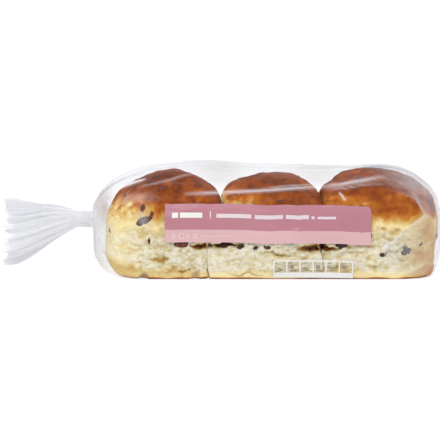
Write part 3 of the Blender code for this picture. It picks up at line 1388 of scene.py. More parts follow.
@dataclass
class FruitScatter:
    """All the dried fruit as one joined mesh: those that show in front, one by one, and others all over."""

    shown: tuple[Fruit, ...] = (
        Fruit((143, 208), 0.0062, 0.55, 0.0008, 1.0, 1.3),
        Fruit((146, 219.5), 0.0092, 0.75, 0.0016, 0.8, 0.2),
        Fruit((140.5, 222), 0.0062, 0.75, 0.0016, 0.6, 0.9),
        Fruit((151.5, 215), 0.0075, 0.45, 0.0008, 0.9, 1.4),
        Fruit((109.5, 230), 0.0048, 0.55, 0.0008, 0.3, 1.2),
        Fruit((149, 241), 0.0045, 0.45, 0.0008, 0.9, 1.5),
        Fruit((158, 176.5), 0.0075, 0.5, 0.0005, 0.9, 0.1),
        Fruit((163, 188), 0.0095, 0.3, 0.0006, 0.9, 0.6),
        Fruit((125, 195), 0.0042, 0.7, 0.0008, 0.4, 1.0),
        Fruit((183, 244.5), 0.0105, 0.55, 0.0012, 1.0, 0.0),
        Fruit((227, 245), 0.0105, 0.5, 0.0012, 0.7, 0.1),
        Fruit((241, 246.5), 0.0055, 0.55, 0.0012, 0.8, 0.3),
        Fruit((255.5, 248), 0.0035, 0.7, 0.0012, 0.6, 0.3),
        Fruit((282, 201), 0.0105, 0.32, 0.0006, 0.9, 0.1),
        Fruit((343.5, 245), 0.0085, 0.7, 0.0012, 0.1, 0.1),
        Fruit((384.5, 254), 0.007, 0.55, 0.0012, 0.2, 0.1),
        Fruit((405.5, 252.5), 0.008, 0.8, 0.0012, 0.1, 0.6),
        Fruit((420.5, 244.5), 0.0038, 0.8, 0.0008, 0.5, 0.0),
    )
    scattered: int = 90
    seed: int = 5
    around: int = 22
    rings: int = 13
    pole: float = 0.12
    folds: Lumps = Lumps(0.2, 0.55, 3)
    fold_squeeze: Triple = (0.45, 1, 1)
    fold_step: float = 3.7
    lifts: Span = (-0.25, 1.35)
    lengths: Span = (0.0045, 0.0085)
    plumps: Span = (0.45, 0.75)
    fruit_turns: Span = (0, 3.1)
    rusts: Span = (0.1, 0.9)
    proud_low: float = 0.001
    proud_high: float = 0.0005
    high_from: float = 0.04
    least_height: float = 0.006
    hidden_share: float = 0.92
    least_facing: float = 0.05
    aim_height: float = 0.03
    cast_from: float = 0.2

    def berry(self, fruit: Fruit, wrinkles: Relief, key: float) -> Array:
        """One wrinkled fruit about the origin, long along X.

        Args:
            fruit: its sizes.
            wrinkles: the relief of its skin.
            key: sets its wrinkles apart from the others'.

        Returns:
            Its rings of points.
        """
        lift = np.linspace(self.pole, np.pi - self.pole, self.rings)[:, None]
        turn = turns(self.around)
        slim = np.sin(lift)
        across = [np.cos(lift) * np.ones_like(turn), slim * np.cos(turn), slim * np.sin(turn)]
        ball = np.stack(across, axis=-1)
        ball = ball * (1 + self.folds.at(wrinkles, ball * self.fold_squeeze + key))[..., None]
        return ball * (fruit.length / 2, fruit.length * fruit.plump / 2, fruit.length * fruit.plump / 2)

    @staticmethod
    def settle(points: Array, at: Vector, normal: Vector, fruit: Fruit) -> Array:
        """Turns a fruit flat on the bread and sinks it until only its top stands proud.

        Args:
            points: the fruit about the origin.
            at: the point of the bread.
            normal: the bread's normal there.
            fruit: how it is turned and how proud it stands.

        Returns:
            Its points in the frame.
        """
        up = np.array(normal)
        side = np.cross(up, (0.0, 1.0, 0.0) if abs(up[1]) < STEEP else (0.0, 0.0, 1.0))
        side /= np.linalg.norm(side)
        other = np.cross(up, side)
        long_way = side * math.cos(fruit.turn) + other * math.sin(fruit.turn)
        wide_way = np.cross(up, long_way)
        thick = np.abs(points[..., 2]).max()
        turned = points[..., :1] * long_way + points[..., 1:2] * wide_way + points[..., 2:] * up
        return turned + np.array(at) + up * (fruit.proud - thick)

    def places(
        self, bread: BVHTree, studio: Studio, buns: Sequence[Bun]
    ) -> list[tuple[Vector, Vector, Fruit]]:
        """Where each fruit lies.

        Args:
            bread: the bread's surfaces.
            studio: the camera, for the sight lines of those that show.
            buns: the buns, for those that are scattered.

        Returns:
            The point and normal of the bread there, and the fruit.
        """
        found = []
        for fruit in self.shown:
            at, normal, _, _ = bread.ray_cast(*studio.ray(fruit.seen_at))
            if at is not None:
                found.append((at, normal, fruit))
        draw = np.random.RandomState(self.seed)
        eye = np.array(studio.camera_basis()[0])
        while len(found) < len(self.shown) + self.scattered:
            bun = buns[draw.randint(len(buns))]
            spin, lift = draw.uniform(0, FULL_TURN), draw.uniform(*self.lifts)
            way = Vector((math.cos(spin) * math.cos(lift), math.sin(spin) * math.cos(lift), math.sin(lift)))
            start = Vector((*bun.middle, self.aim_height)) + way * self.cast_from
            at, normal, _, _ = bread.ray_cast(start, -way)
            spans = (self.lengths, self.plumps, self.fruit_turns)
            length, plump, turn = (draw.uniform(*span) for span in spans)
            if at is None or at.z < self.least_height:
                continue
            faces_camera = Vector(eye - np.array(at)).normalized().dot(normal) > self.least_facing
            if faces_camera and draw.uniform() < self.hidden_share:
                continue
            proud = self.proud_low if at.z < self.high_from else self.proud_high
            found.append((at, normal, Fruit((0, 0), length, plump, proud, draw.uniform(*self.rusts), turn)))
        return found

    def build(self, bread: BVHTree, studio: Studio, buns: Sequence[Bun], material: Material) -> None:
        """Builds the fruit as one piece.

        Args:
            bread: the bread's surfaces.
            studio: the camera.
            buns: the buns.
            material: the fruit's material.
        """
        wrinkles = Relief(self.seed)
        pile, rust = Pile(), []
        for index, (at, normal, fruit) in enumerate(self.places(bread, studio, buns)):
            berry = self.berry(fruit, wrinkles, index * self.fold_step)
            pile.add(self.settle(berry, at, normal, fruit), tube_faces(self.rings, self.around))
            rust.extend([fruit.rust] * self.rings * self.around)
        place(add_mesh("currants", pile.points, pile.faces, rust=np.array(rust)), "dried_fruit", material)


# --- film


@dataclass(frozen=True)
class GlintCrease:
    """A crease in the front film along the pixels of a path, which lifts it and paints it milky white:
    painted glints where it is small and bright, and painted reflections of the lamps where it runs as a long
    milky band.
    """

    path: tuple[Point, ...]
    width: float
    lift: float
    # haze: how white the crease is painted, as a painted glint or painted reflection
    haze: float


@dataclass(frozen=True)
class Section:
    """The bag's full section across X: a flat base, upright sides and a rounded top."""

    half_depth: float = 0.0776
    flat_half: float = 0.036
    base: float = 0.0003
    heel_depth: float = 0.0045
    heel_height: float = 0.009
    side_top: float = 0.036
    top: float = 0.0705
    crown: float = 0.0006
    power: float = 2.35
    arc_points: int = 90
    flat_points: int = 30

    def half_outline(self) -> Array:
        """Draws the section's back half.

        Returns:
            Its y and z, from the middle of the base to the middle of the top.
        """
        angle = np.linspace(0, QUARTER_TURN, self.arc_points)
        heel_y = self.half_depth - self.heel_depth * (1 - np.sin(angle))
        heel_z = self.base + self.heel_height * (1 - np.cos(angle))
        arc_y = self.flat_half + (self.half_depth - self.flat_half) * np.cos(angle) ** (2 / self.power)
        arc_z = self.side_top + (self.top - self.side_top) * np.sin(angle) ** (2 / self.power)
        inwards = np.linspace(0, 1, self.flat_points)[1:]
        y = np.concatenate([[0.0], heel_y, arc_y, self.flat_half * (1 - inwards)])
        z = np.concatenate([[self.base], heel_z, arc_z, self.top + self.crown * ease(inwards)])
        return np.stack([y, z], axis=-1)

    def outline(self, count: int) -> Array:
        """Draws the whole section.

        Args:
            count: how many points it gets.

        Returns:
            Evenly spaced y and z: base, back, top, front.
        """
        back = self.half_outline()
        front = back[::-1] * (-1, 1)
        whole = np.concatenate([back, front[1:]])
        arc = arc_lengths(whole)
        at = np.arange(count) / count * arc[-1]
        return np.stack([np.interp(at, arc, whole[:, 0]), np.interp(at, arc, whole[:, 1])], axis=-1)


@dataclass(frozen=True)
class Closing:
    """How the bag closes towards one end: how far, and how squarely at its top, sides and base."""

    reach: float
    top_power: float
    side_power: float
    base_power: float
    samples: int = 600

    def powers(self, direction: Array) -> Array:
        """The power of each meridian, by its direction round the section."""
        up, across = np.sin(direction), np.cos(direction)
        ends = self.top_power * positive(up) ** 2 + self.base_power * positive(-up) ** 2
        return ends + self.side_power * across**2

    def meridians(self, direction: Array, radius: Array, count: int) -> tuple[Array, Array]:
        """How far along and how far open each meridian is at evenly spaced points.

        Args:
            direction: each meridian's angle round the section.
            radius: its distance from the axis where the bag is fully open.
            count: how many points it gets, from fully open to closed.

        Returns:
            The share of the reach and the share of the opening, as count rows by meridians.
        """
        angle = np.linspace(0, QUARTER_TURN, self.samples)
        along, opened = np.zeros((count, len(direction))), np.zeros((count, len(direction)))
        for index, power in enumerate(self.powers(direction)):
            out = np.sin(angle) ** (2 / power)
            wide = np.cos(angle) ** (2 / power)
            arc = arc_lengths(np.stack([out * self.reach, wide * radius[index]], axis=-1))
            at = np.linspace(0, arc[-1], count)
            along[:, index] = np.interp(at, arc, out)
            opened[:, index] = np.interp(at, arc, wide)
        return along, opened


@dataclass(frozen=True)
class Neck:
    """The gathered neck under the tape, and the collar from which the bag opens."""

    rows: int = 16
    height: float = 0.0346
    radius: float = 0.0054
    collar_radius: float = 0.008
    before_tape: float = 0.0015
    after_tape: float = 0.0038
    collar_overrun: float = 0.001
    gathers: int = 19
    gather_share: float = 0.035
    gather_phase: float = 0.6
    haze: float = 0.5

    @property
    def left(self) -> float:
        """Where the tail ends and the straight neck starts."""
        return TAPE_LOW.x - self.before_tape

    @property
    def right(self) -> float:
        """Where the straight neck ends and the bag opens."""
        return TAPE_HIGH.x + self.after_tape

    def skin(self, turn: Array) -> Array:
        """The neck's skin.

        Args:
            turn: the angle of each column.

        Returns:
            Rows of points, away from the tail.
        """
        share = np.linspace(0, 1, self.rows, endpoint=False)[:, None]
        x = mix(self.left, self.right, share) * np.ones_like(turn)
        opened = ease(x, TAPE_HIGH.x, self.right + self.collar_overrun)
        gathers = 1 + self.gather_share * np.cos(self.gathers * turn + self.gather_phase)
        radius = mix(self.radius, self.collar_radius, opened) * gathers
        return np.stack([x, radius * np.cos(turn), self.height + radius * np.sin(turn)], axis=-1)


@dataclass(frozen=True)
class Tail:
    """The pleated fan of loose film beyond the neck. Its noise spreads round it and runs along it."""

    rows: int = 46
    half: Point = (0.015, 0.0196)
    end: Point = (-0.006, 0.0252)
    seed: int = 71
    flare_power: float = 1.6
    wander: Lumps = Lumps(1.5, 0.55)
    wander_spread: Point = (0.9, 0.0)
    drift: Lumps = Lumps(1.0, 0.5)
    drift_spread: Point = (2.0, 1.2)
    pleats: int = 15
    pleat_wander: float = 2.2
    small_pleats: int = 26
    small_pleat_wander: float = 3.0
    small_pleat_share: float = 0.45
    small_pleat_phase: float = 1.0
    pleat_depth: float = 0.12
    pleat_drift: float = 0.4
    drift_depth: float = 0.1
    zigzag: float = 0.002
    tips: Lumps = Lumps(0.0026, 0.5)
    tip_spread: Point = (3.0, 0.0)
    tip_inset: float = 0.0004
    haze: float = 0.57
    pleat_haze: float = 0.08
    drift_haze: float = 0.1
    fine_haze: Lumps = Lumps(0.1, 0.5, 2)
    fine_spread: Point = (7.0, 0.6)

    def skin(self, turn: Array, neck: Neck, floor: float) -> tuple[Array, Array]:
        """The tail's skin and its haze.

        Args:
            turn: the angle of each column.
            neck: the neck that it fans out from.
            floor: the least height that it may have.

        Returns:
            Rows of points from the ragged end to the neck, and each point's haze.
        """
        relief = Relief(self.seed)
        share = np.linspace(0, 1, self.rows, endpoint=False)[:, None]
        ring = circle(turn)

        def noise(kind: Lumps, spread: Point) -> Array:
            """Noise that spreads round the tail and runs along it."""
            return kind.at(relief, ring * spread[0] + share[..., None] * (0.0, 0.0, spread[1]))

        flare = 1 - share**self.flare_power
        droop = fade(share)
        wander = noise(self.wander, self.wander_spread)
        drift = noise(self.drift, self.drift_spread)
        pleats = np.cos(self.pleats * turn + self.pleat_wander * wander)
        small = np.cos(self.small_pleats * turn + self.small_pleat_wander * wander + self.small_pleat_phase)
        both = pleats + self.small_pleat_share * small
        swell = 1 + self.pleat_depth * flare * (1 + self.pleat_drift * drift) * both
        swell = swell + self.drift_depth * flare * drift
        half_y, half_z = (mix(neck.radius, half, flare) * swell for half in self.half)
        y = self.end[0] * droop + half_y * np.cos(turn)
        z = mix(neck.height, self.end[1], droop) + half_z * np.sin(turn)
        tips = self.zigzag * (1 - pleats) + noise(self.tips, self.tip_spread) - self.tip_inset
        x = mix(BAG_LOW.x, neck.left, share) + tips * (1 - share) ** 2
        pleated = np.clip(both * mix(1.0, drift, self.pleat_drift), -1, 1)
        haze = self.haze + self.pleat_haze * pleated + self.drift_haze * drift
        haze = haze + noise(self.fine_haze, self.fine_spread)
        return np.stack([x, y, np.maximum(z, floor)], axis=-1), haze


@dataclass(frozen=True)
class Wrinkles:
    """The gathers that run out from the neck, the fine wrinkles of the whole skin, and the haze of both."""

    seed: int = 29
    gathers: int = 17
    gather_wander: Lumps = Lumps(2.5, 0.5)
    gather_strength: Lumps = Lumps(0.5, 0.5)
    gather_spread: float = 2.3
    least_gather: float = 0.7
    gather_rows: Span = (0, 8)
    gather_ends_from: int = 12
    gather_lift: float = 0.0011
    gather_dip: float = 0.0003
    tension: Lumps = Lumps(1.0, (0.06, 0.018, 0.014), 2)
    tension_lift: float = 0.0005
    tension_level: float = 0.3
    tension_power: int = 4
    ripples: Lumps = Lumps(0.0006, (0.045, 0.018, 0.012))
    puff: float = 0.0005
    puffs: Lumps = Lumps(0.0005, 0.04)
    tight_end: Span = (0.11, 0.14)
    tightness: float = 0.9
    off_floor: Span = (0.001, 0.008)
    streaks: Lumps = Lumps(1.0, (0.1, 0.007, 0.0035))
    streak_levels: Span = (0.05, 0.5)
    streaks_above: Span = (0.06, 0.067)
    streak_haze: float = 0.06
    gather_haze: float = 0.03
    gather_contrast: float = 0.4
    tension_haze: float = 0.004
    tight_levels: Span = (0.86, 1.0)
    neck_haze: float = 0.86
    neck_haze_reach: float = 0.014
    neck_haze_height: float = 0.038
    neck_haze_spread: float = 0.011
    neck_haze_low: float = 0.45
    back_haze: float = 0.09
    back_side: Span = (0.026, 0.048)
    back_above: Span = (0.045, 0.056)
    joints: tuple[float, ...] = (0.0, 0.069)
    joint_haze: float = 0.15
    joint_width: float = 0.018

    def behind(self, skin: Array) -> Array:
        """How far each point lies on the bag's high back edge, from 0 to 1."""
        return ease(skin[..., 1], *self.back_side) * ease(skin[..., 2], *self.back_above)

    def standing_haze(self, skin: Array, neck: Neck) -> Array:
        """The haze at the neck and on the bag's high back edge.

        Args:
            skin: the smooth skin.
            neck: the neck.

        Returns:
            The haze of each point.
        """
        x, height = skin[..., 0], skin[..., 2]
        near_neck = fade(x, neck.right, neck.right + self.neck_haze_reach)
        spread = bell(height - self.neck_haze_height, self.neck_haze_spread)
        over_joints = sum(bell(x - joint, self.joint_width) for joint in self.joints)
        back = (self.back_haze + self.joint_haze * over_joints) * self.behind(skin)
        return self.neck_haze * near_neck * mix(self.neck_haze_low, 1, spread) + back

    def add(self, skin: Array, turn: Array, neck: Neck, shoulder_rows: int) -> tuple[Array, Array]:
        """Wrinkles a smooth skin.

        Args:
            skin: the skin, from the neck to the closed end.
            turn: the angle of each column.
            neck: the neck that the gathers run out from.
            shoulder_rows: how many rows the gathers may reach.

        Returns:
            The wrinkled skin and its haze.
        """
        relief = Relief(self.seed)
        ring = circle(turn)
        x, height = skin[..., 0], skin[..., 2]
        strength = self.least_gather + self.gather_strength.at(relief, ring * self.gather_spread)
        gather = np.cos(self.gathers * turn + self.gather_wander.at(relief, ring)) * strength
        row = np.arange(len(skin))[:, None]
        reach = ease(row, *self.gather_rows) * fade(row, self.gather_ends_from, shoulder_rows)
        tension = 1 - np.abs(self.tension.at(relief, skin))
        lift = np.maximum(gather * reach * self.gather_lift, -self.gather_dip) + self.ripples.at(relief, skin)
        lift = lift + self.tension_lift * (tension**self.tension_power - self.tension_level)
        puffed = 1 - self.tightness * ease(x, *self.tight_end)
        lift = lift + (self.puff + self.puffs.at(relief, skin)) * puffed
        lift = lift * ease(height, *self.off_floor)
        streaks = ease(self.streaks.at(relief, skin), *self.streak_levels) * ease(height, *self.streaks_above)
        haze = self.gather_haze * reach * mix(1.0, gather, self.gather_contrast)
        haze = haze + self.tension_haze * ease(tension, *self.tight_levels) + self.streak_haze * streaks
        haze = haze + self.standing_haze(skin, neck)
        return skin + grid_normals(skin) * lift[..., None], haze


@dataclass
class Film:
    """The bag's clear film: the pleated tail, the taped neck, and the skin drawn over the buns."""

    columns: int = 320
    shoulder_rows: int = 60
    body_rows: int = 110
    end_rows: int = 56
    section: Section = Section()
    neck: Neck = Neck()
    tail: Tail = Tail()
    wrinkles: Wrinkles = Wrinkles()
    shoulder: Closing = Closing(reach=0.0456, top_power=1.6, side_power=3.2, base_power=4.0)
    end: Closing = Closing(reach=0.0355, top_power=2.3, side_power=3.4, base_power=3.4)
    tops: tuple[Point, ...] = (
        (-0.06, 0.069),
        (-0.042, 0.0696),
        (-0.031, 0.0712),
        (-0.014, 0.073),
        (0.008, 0.0719),
        (0.03, 0.0706),
        (0.058, 0.0696),
        (0.092, 0.0696),
        (0.12, 0.069),
        (0.15, 0.069),
    )
    top_blur: float = 0.008
    clearance: float = 0.0012
    cast_depth: float = 0.012
    smoothing: int = 30
    end_line_height: float = 0.033
    end_line_half: float = 0.02
    end_line_thickness: float = 0.00015
    gathered: Span = (0.006, 0.026)
    front_from: float = 0.03
    crease_step: float = 3.0
    crease_margin: float = 0.01
    # the creases' haze paints white on the film: the small bright ones are painted glints, and the long milky
    # bands are painted reflections of the lamps
    creases: tuple[GlintCrease, ...] = (
        GlintCrease(((136, 188), (166, 181), (186, 175), (204, 173)), 0.001, 0.0005, 0.24),
        GlintCrease(((183, 194), (224, 192.5), (270, 190.5), (312, 187.5), (334, 187)), 0.0012, 0.0005, 0.55),
        GlintCrease(((262, 189.5), (276, 187.5), (290, 186), (314, 184.5)), 0.0009, 0.0005, 0.3),
        GlintCrease(((276, 189), (295, 188), (318, 187)), 0.0024, 0.0003, 0.17),
        GlintCrease(((322, 187), (340, 185), (365, 180.5), (385, 176)), 0.0026, 0.0008, 0.42),
        GlintCrease(((330, 190), (345, 188.5), (362, 185), (384, 184)), 0.0008, 0.0004, 0.3),
        GlintCrease(((117, 189), (133, 183), (147, 178.5)), 0.0016, 0.0006, 0.85),
        GlintCrease(((108, 200), (111, 207)), 0.0012, 0.0004, 0.8),
        GlintCrease(((389, 243), (381, 250)), 0.0008, 0.0004, 1.0),
        GlintCrease(((339, 192), (346, 201)), 0.0006, 0.0004, 0.8),
        GlintCrease(((431, 190), (435.5, 208), (436.5, 238)), 0.0007, 0.0003, 0.45),
        GlintCrease(((412, 191), (416, 198), (421, 203)), 0.0022, 0.0005, 0.2),
        GlintCrease(((118, 201), (135, 198), (152, 197)), 0.0045, 0.0003, 0.17),
        GlintCrease(((111, 214), (108, 235), (112, 260)), 0.0042, 0.0003, 0.2),
        GlintCrease(((140, 213), (146, 228)), 0.0036, 0.0002, 0.24),
    )
    skin: Array | None = field(init=False, default=None)
    normals: Array | None = field(init=False, default=None)

    @property
    def body_left(self) -> float:
        """Where the bag is fully open on the neck's side."""
        return self.neck.right + self.shoulder.reach

    @property
    def body_right(self) -> float:
        """Where the bag starts to close towards its end."""
        return BAG_HIGH.x - self.end.reach

    @property
    def body_end(self) -> int:
        """The skin's last fully open row."""
        return self.shoulder_rows + self.body_rows - 1

    def column_turns(self) -> Array:
        """The angle of each column, from the middle of the base round by the back."""
        return turns(self.columns) - QUARTER_TURN

    def full_points(self, x: Array) -> Array:
        """The fully open section's points where the columns pass x.

        Args:
            x: rows by columns of places along the bag.

        Returns:
            The y and z of each, as rows by columns by 2.
        """
        outline = self.section.outline(self.columns)
        side_top = self.section.side_top
        spots, heights = zip(*self.tops)
        top = np.interp(np.stack([x - self.top_blur, x, x + self.top_blur]), spots, heights).mean(axis=0)
        above = positive(outline[:, 1] - side_top)
        grow = (top - side_top) / (self.section.top - side_top)
        z = np.minimum(outline[:, 1], side_top) + above * grow
        return np.stack([np.broadcast_to(outline[:, 0], z.shape), z], axis=-1)

    def closing_rows(self, way: Closing, count: int, middle: float) -> tuple[Array, Array]:
        """The rows over which one end closes."""
        outline = self.section.outline(self.columns) - (0, middle)
        half_depth, half_height = self.section.half_depth, self.section.top - middle
        direction = np.arctan2(outline[:, 1] / half_height, outline[:, 0] / half_depth)
        return way.meridians(direction, np.linalg.norm(outline, axis=1), count)

    def first_skin(self) -> Array:
        """Lays the bag's skin as if it held nothing.

        Returns:
            Rows of points, from the neck to the closed end.
        """
        turn = self.column_turns()[0]
        along, opened = self.closing_rows(self.shoulder, self.shoulder_rows + 1, self.neck.height)
        shoulder_x = self.body_left - self.shoulder.reach * along[:0:-1]
        collar = circle(turn)[:, :2] * self.neck.collar_radius + (0, self.neck.height)
        shoulder = mix(collar, self.full_points(shoulder_x), opened[:0:-1, :, None])
        body_x = np.linspace(self.body_left, self.body_right, self.body_rows)[:, None] * np.ones(self.columns)
        along, opened = self.closing_rows(self.end, self.end_rows + 1, self.end_line_height)
        end_x = self.body_right + self.end.reach * along[1:]
        line = circle(turn)[:, :2] * (self.end_line_half, self.end_line_thickness) + (0, self.end_line_height)
        end = mix(line, self.full_points(end_x), opened[1:, :, None])
        across = np.concatenate([shoulder, self.full_points(body_x), end])
        return np.concatenate([np.concatenate([shoulder_x, body_x, end_x])[..., None], across], axis=-1)

    def drape(self, skin: Array, bread: BVHTree) -> Array:
        """Pushes the skin outwards, smoothly, wherever bread would come through it.

        Args:
            skin: the skin's points.
            bread: the bread's surfaces.

        Returns:
            The skin's new points.
        """
        normals = grid_normals(skin)
        starts = (skin + normals * self.cast_depth).reshape(-1, 3)
        reach = self.cast_depth + self.clearance
        need = np.zeros(len(starts))
        for index, (start, way) in enumerate(zip(starts, -normals.reshape(-1, 3))):
            _, _, _, distance = bread.ray_cast(Vector(start), Vector(way), reach)
            if distance is not None:
                need[index] = reach - distance
        need = need.reshape(skin.shape[:2])
        move = need
        for _ in range(self.smoothing):
            around = (np.roll(move, 1, axis=1) + np.roll(move, -1, axis=1)) / 2
            along = move.copy()
            along[1:-1] = (move[:-2] + move[2:]) / 2
            move = np.maximum(need, (around + along) / 2)
        moved = skin + normals * move[..., None]
        moved[..., 2] = np.maximum(moved[..., 2], self.section.base)
        return moved

    def crease_line(self, crease: GlintCrease, outside: BVHTree, studio: Studio) -> Array:
        """Where a crease runs on the film.

        Args:
            crease: the crease.
            outside: the film's surface.
            studio: the camera, for the sight lines.

        Returns:
            Its points in the frame.
        """
        path = []
        for start, end in zip(crease.path, crease.path[1:]):
            steps = max(2, int(math.dist(start, end) / self.crease_step))
            path.extend(tuple(mix(np.array(start), np.array(end), k / steps)) for k in range(steps))
        path.append(crease.path[-1])
        found = (outside.ray_cast(*studio.ray(pixel))[0] for pixel in path)
        return np.array([at for at in found if at is not None])

    def near_crease(self, points: Array, line: Array, width: float) -> Array:
        """How near each point is to a crease.

        Args:
            points: the film's points.
            line: the crease's points.
            width: how wide it is.

        Returns:
            1 on the crease, falling to 0.
        """
        near = np.zeros(points.shape[:-1])
        if len(line) < 2:
            return near
        low, high = line.min(0) - self.crease_margin, line.max(0) + self.crease_margin
        inside = np.all((points > low) & (points < high), axis=-1)
        chosen = points[inside]
        best = np.zeros(len(chosen))
        for index, (a, b) in enumerate(zip(line, line[1:])):
            span = b - a
            t = np.clip((chosen - a) @ span / max(span @ span, 1e-12), 0, 1)
            off = np.linalg.norm(chosen - (a + t[:, None] * span), axis=1)
            taper = np.sqrt(positive(np.sin(np.pi * (index + t) / (len(line) - 1))))
            best = np.maximum(best, bell(off, width) * taper)
        near[inside] = best
        return near

    def creased(self, skin: Array, haze: Array, studio: Studio) -> tuple[Array, Array]:
        """Adds the creases, with their painted glints and painted reflections in the haze.

        Args:
            skin: the wrinkled skin.
            haze: its haze.
            studio: the camera, for the creases' sight lines.

        Returns:
            The new skin and haze.
        """
        corners = [Vector(point) for point in skin.reshape(-1, 3)]
        tree = BVHTree.FromPolygons(corners, grid_faces(*skin.shape[:2]))
        normals = grid_normals(skin)
        for crease in self.creases:
            near = self.near_crease(skin, self.crease_line(crease, tree, studio), crease.width)
            haze = np.maximum(haze, near * crease.haze)
            skin = skin + normals * (near * crease.lift)[..., None]
        return skin, haze

    def build(self, bread: BVHTree, studio: Studio, material: Material) -> None:
        """Builds the film as one skin from the tail's end to the closed end.

        Args:
            bread: the bread's surfaces.
            studio: the camera, for the creases' sight lines.
            material: the film's material.
        """
        turn = self.column_turns()
        draped = self.drape(self.first_skin(), bread)
        # the creases paint glints and lamp reflections into the haze
        skin, haze = self.creased(*self.wrinkles.add(draped, turn, self.neck, self.shoulder_rows), studio)
        self.skin, self.normals = skin, grid_normals(skin)
        tail, tail_haze = self.tail.skin(turn, self.neck, self.section.base)
        neck = self.neck.skin(turn)
        whole = np.concatenate([tail, neck, skin])
        start, end = self.gathered
        masks = {
            "haze": np.concatenate([tail_haze, np.full(neck.shape[:2], self.neck.haze), haze]),
            "gathered": fade(whole[..., 0], self.neck.right + start, self.neck.right + end),
            "cool": self.wrinkles.behind(whole),
        }
        piece = add_mesh("film", whole, grid_faces(*whole.shape[:2]), **masks)
        place(piece, "bag_film", material, replaces=["bag"])

    def front_point(self, x: float, rise: Array, datum: float) -> Array:
        """Points on the front film at x, measured up along its surface.

        Args:
            x: where along the bag.
            rise: how far above the datum each point is, along the film.
            datum: the height from which rise is measured.

        Returns:
            The points and the film's normals there, as an array of points by 6.
        """
        both = np.concatenate([self.skin, self.normals], axis=-1)[:, self.columns // 2 :][:, ::-1]
        line = np.empty(both.shape[1:])
        for column in range(both.shape[1]):
            xs = np.maximum.accumulate(both[:, column, 0])
            row = min(max(int(np.searchsorted(xs, x)) - 1, 0), len(xs) - 2)
            part = np.clip((x - xs[row]) / max(xs[row + 1] - xs[row], 1e-9), 0, 1)
            line[column] = mix(both[row, column], both[row + 1, column], part)
        arc = arc_lengths(line[:, :3])
        front = line[:, 1] < -self.front_from
        start = np.interp(datum, line[front, 2], arc[front])
        return np.stack([np.interp(start + rise, arc, values) for values in line.T], axis=-1)


@dataclass
class EndFold:
    """The bag's end folded over on itself: a second layer of film round the right end."""

    film: Film
    rows: int = 46
    seed: int = 83
    edge: tuple[Point, ...] = (
        (0.002, 0.129),
        (0.01, 0.118),
        (0.0197, 0.108),
        (0.0338, 0.1228),
        (0.0446, 0.137),
        (0.0553, 0.1305),
        (0.0606, 0.1105),
        (0.066, 0.102),
    )
    low: float = 0.0015
    lift: float = 0.0007
    edge_lift: float = 0.5
    inner_lift: float = 0.9
    edge_rows: float = 6.0
    lift_waves: Lumps = Lumps(0.0005, (0.02, 0.012, 0.012))
    seam_share: float = 0.35
    haze: float = 0.165
    haze_waves: Lumps = Lumps(0.07, 0.012)
    top_haze: float = 0.09
    top_from: Span = (0.05, 0.062)
    soft_rows: float = 14.0
    soft_base: Span = (0.0, 0.004)
    # edge glint: a painted highlight along the fold's edge
    edge_glint: float = 0.2
    edge_glint_rows: float = 1.0
    edge_glint_from: Span = (0.013, 0.022)

    def first_row(self, column: int) -> float:
        """Where the fold's edge crosses a column of the film.

        Args:
            column: the column's number.

        Returns:
            The film's row there, with a fraction.
        """
        skin, body_end = self.film.skin, self.film.body_end
        heights, starts = zip(*self.edge)
        height = skin[body_end, column, 2]
        column_x = np.maximum.accumulate(skin[:, column, 0])
        first = np.interp(np.interp(height, heights, starts), column_x, np.arange(len(skin)))
        if height > self.low:
            return first
        return max(first, body_end + int(np.argmax(skin[body_end:, column, 2] > self.low)))

    def clouding(self, points: Array, height: float, relief: Relief) -> Array:
        """How hazy one column of the fold is, with a painted highlight along the fold's edge.

        Args:
            points: the column's points, from the fold's edge to the seam.
            height: the height of the column where the bag is fully open.
            relief: the haze's unevenness.

        Returns:
            The haze of each point.
        """
        step = np.arange(self.rows)
        upper = ease(height, *self.top_from)
        soft = np.maximum(upper, fade(height, *self.soft_base))
        # painted highlight along the fold's edge
        edge = self.edge_glint * bell(step, self.edge_glint_rows)
        edge = edge * (1 - upper) * ease(height, *self.edge_glint_from)
        cloud = self.haze + self.top_haze * upper + self.haze_waves.at(relief, points)
        return cloud * mix(1.0, ease(step / self.soft_rows), soft) + edge

    def build(self, material: Material) -> None:
        """Builds the fold as a sheet just outside the film.

        Args:
            material: the folded film's material.
        """
        skin, normals = self.film.skin, self.film.normals
        relief = Relief(self.seed)
        rise = self.lift * (self.edge_lift + self.inner_lift * ease(np.arange(self.rows) / self.edge_rows))
        sheet, haze = [], []
        for column in range(skin.shape[1]):
            at = np.linspace(self.first_row(column), len(skin) - 1, self.rows)
            row = np.minimum(at.astype(int), len(skin) - 2)
            part = (at - row)[:, None]
            points = mix(skin[row, column], skin[row + 1, column], part)
            normal = mix(normals[row, column], normals[row + 1, column], part)
            lift = rise + self.lift_waves.at(relief, points)
            lift[-1] *= self.seam_share
            sheet.append(points + normal * lift[:, None])
            haze.append(self.clouding(points, skin[self.film.body_end, column, 2], relief))
        grid = np.array(sheet).transpose(1, 0, 2)
        grid[..., 2] = np.maximum(grid[..., 2], self.film.section.base)
        piece = add_mesh("end_fold", grid, grid_faces(*grid.shape[:2]), haze=np.array(haze).transpose())
        place(piece, "bag_film", material)


# --- print


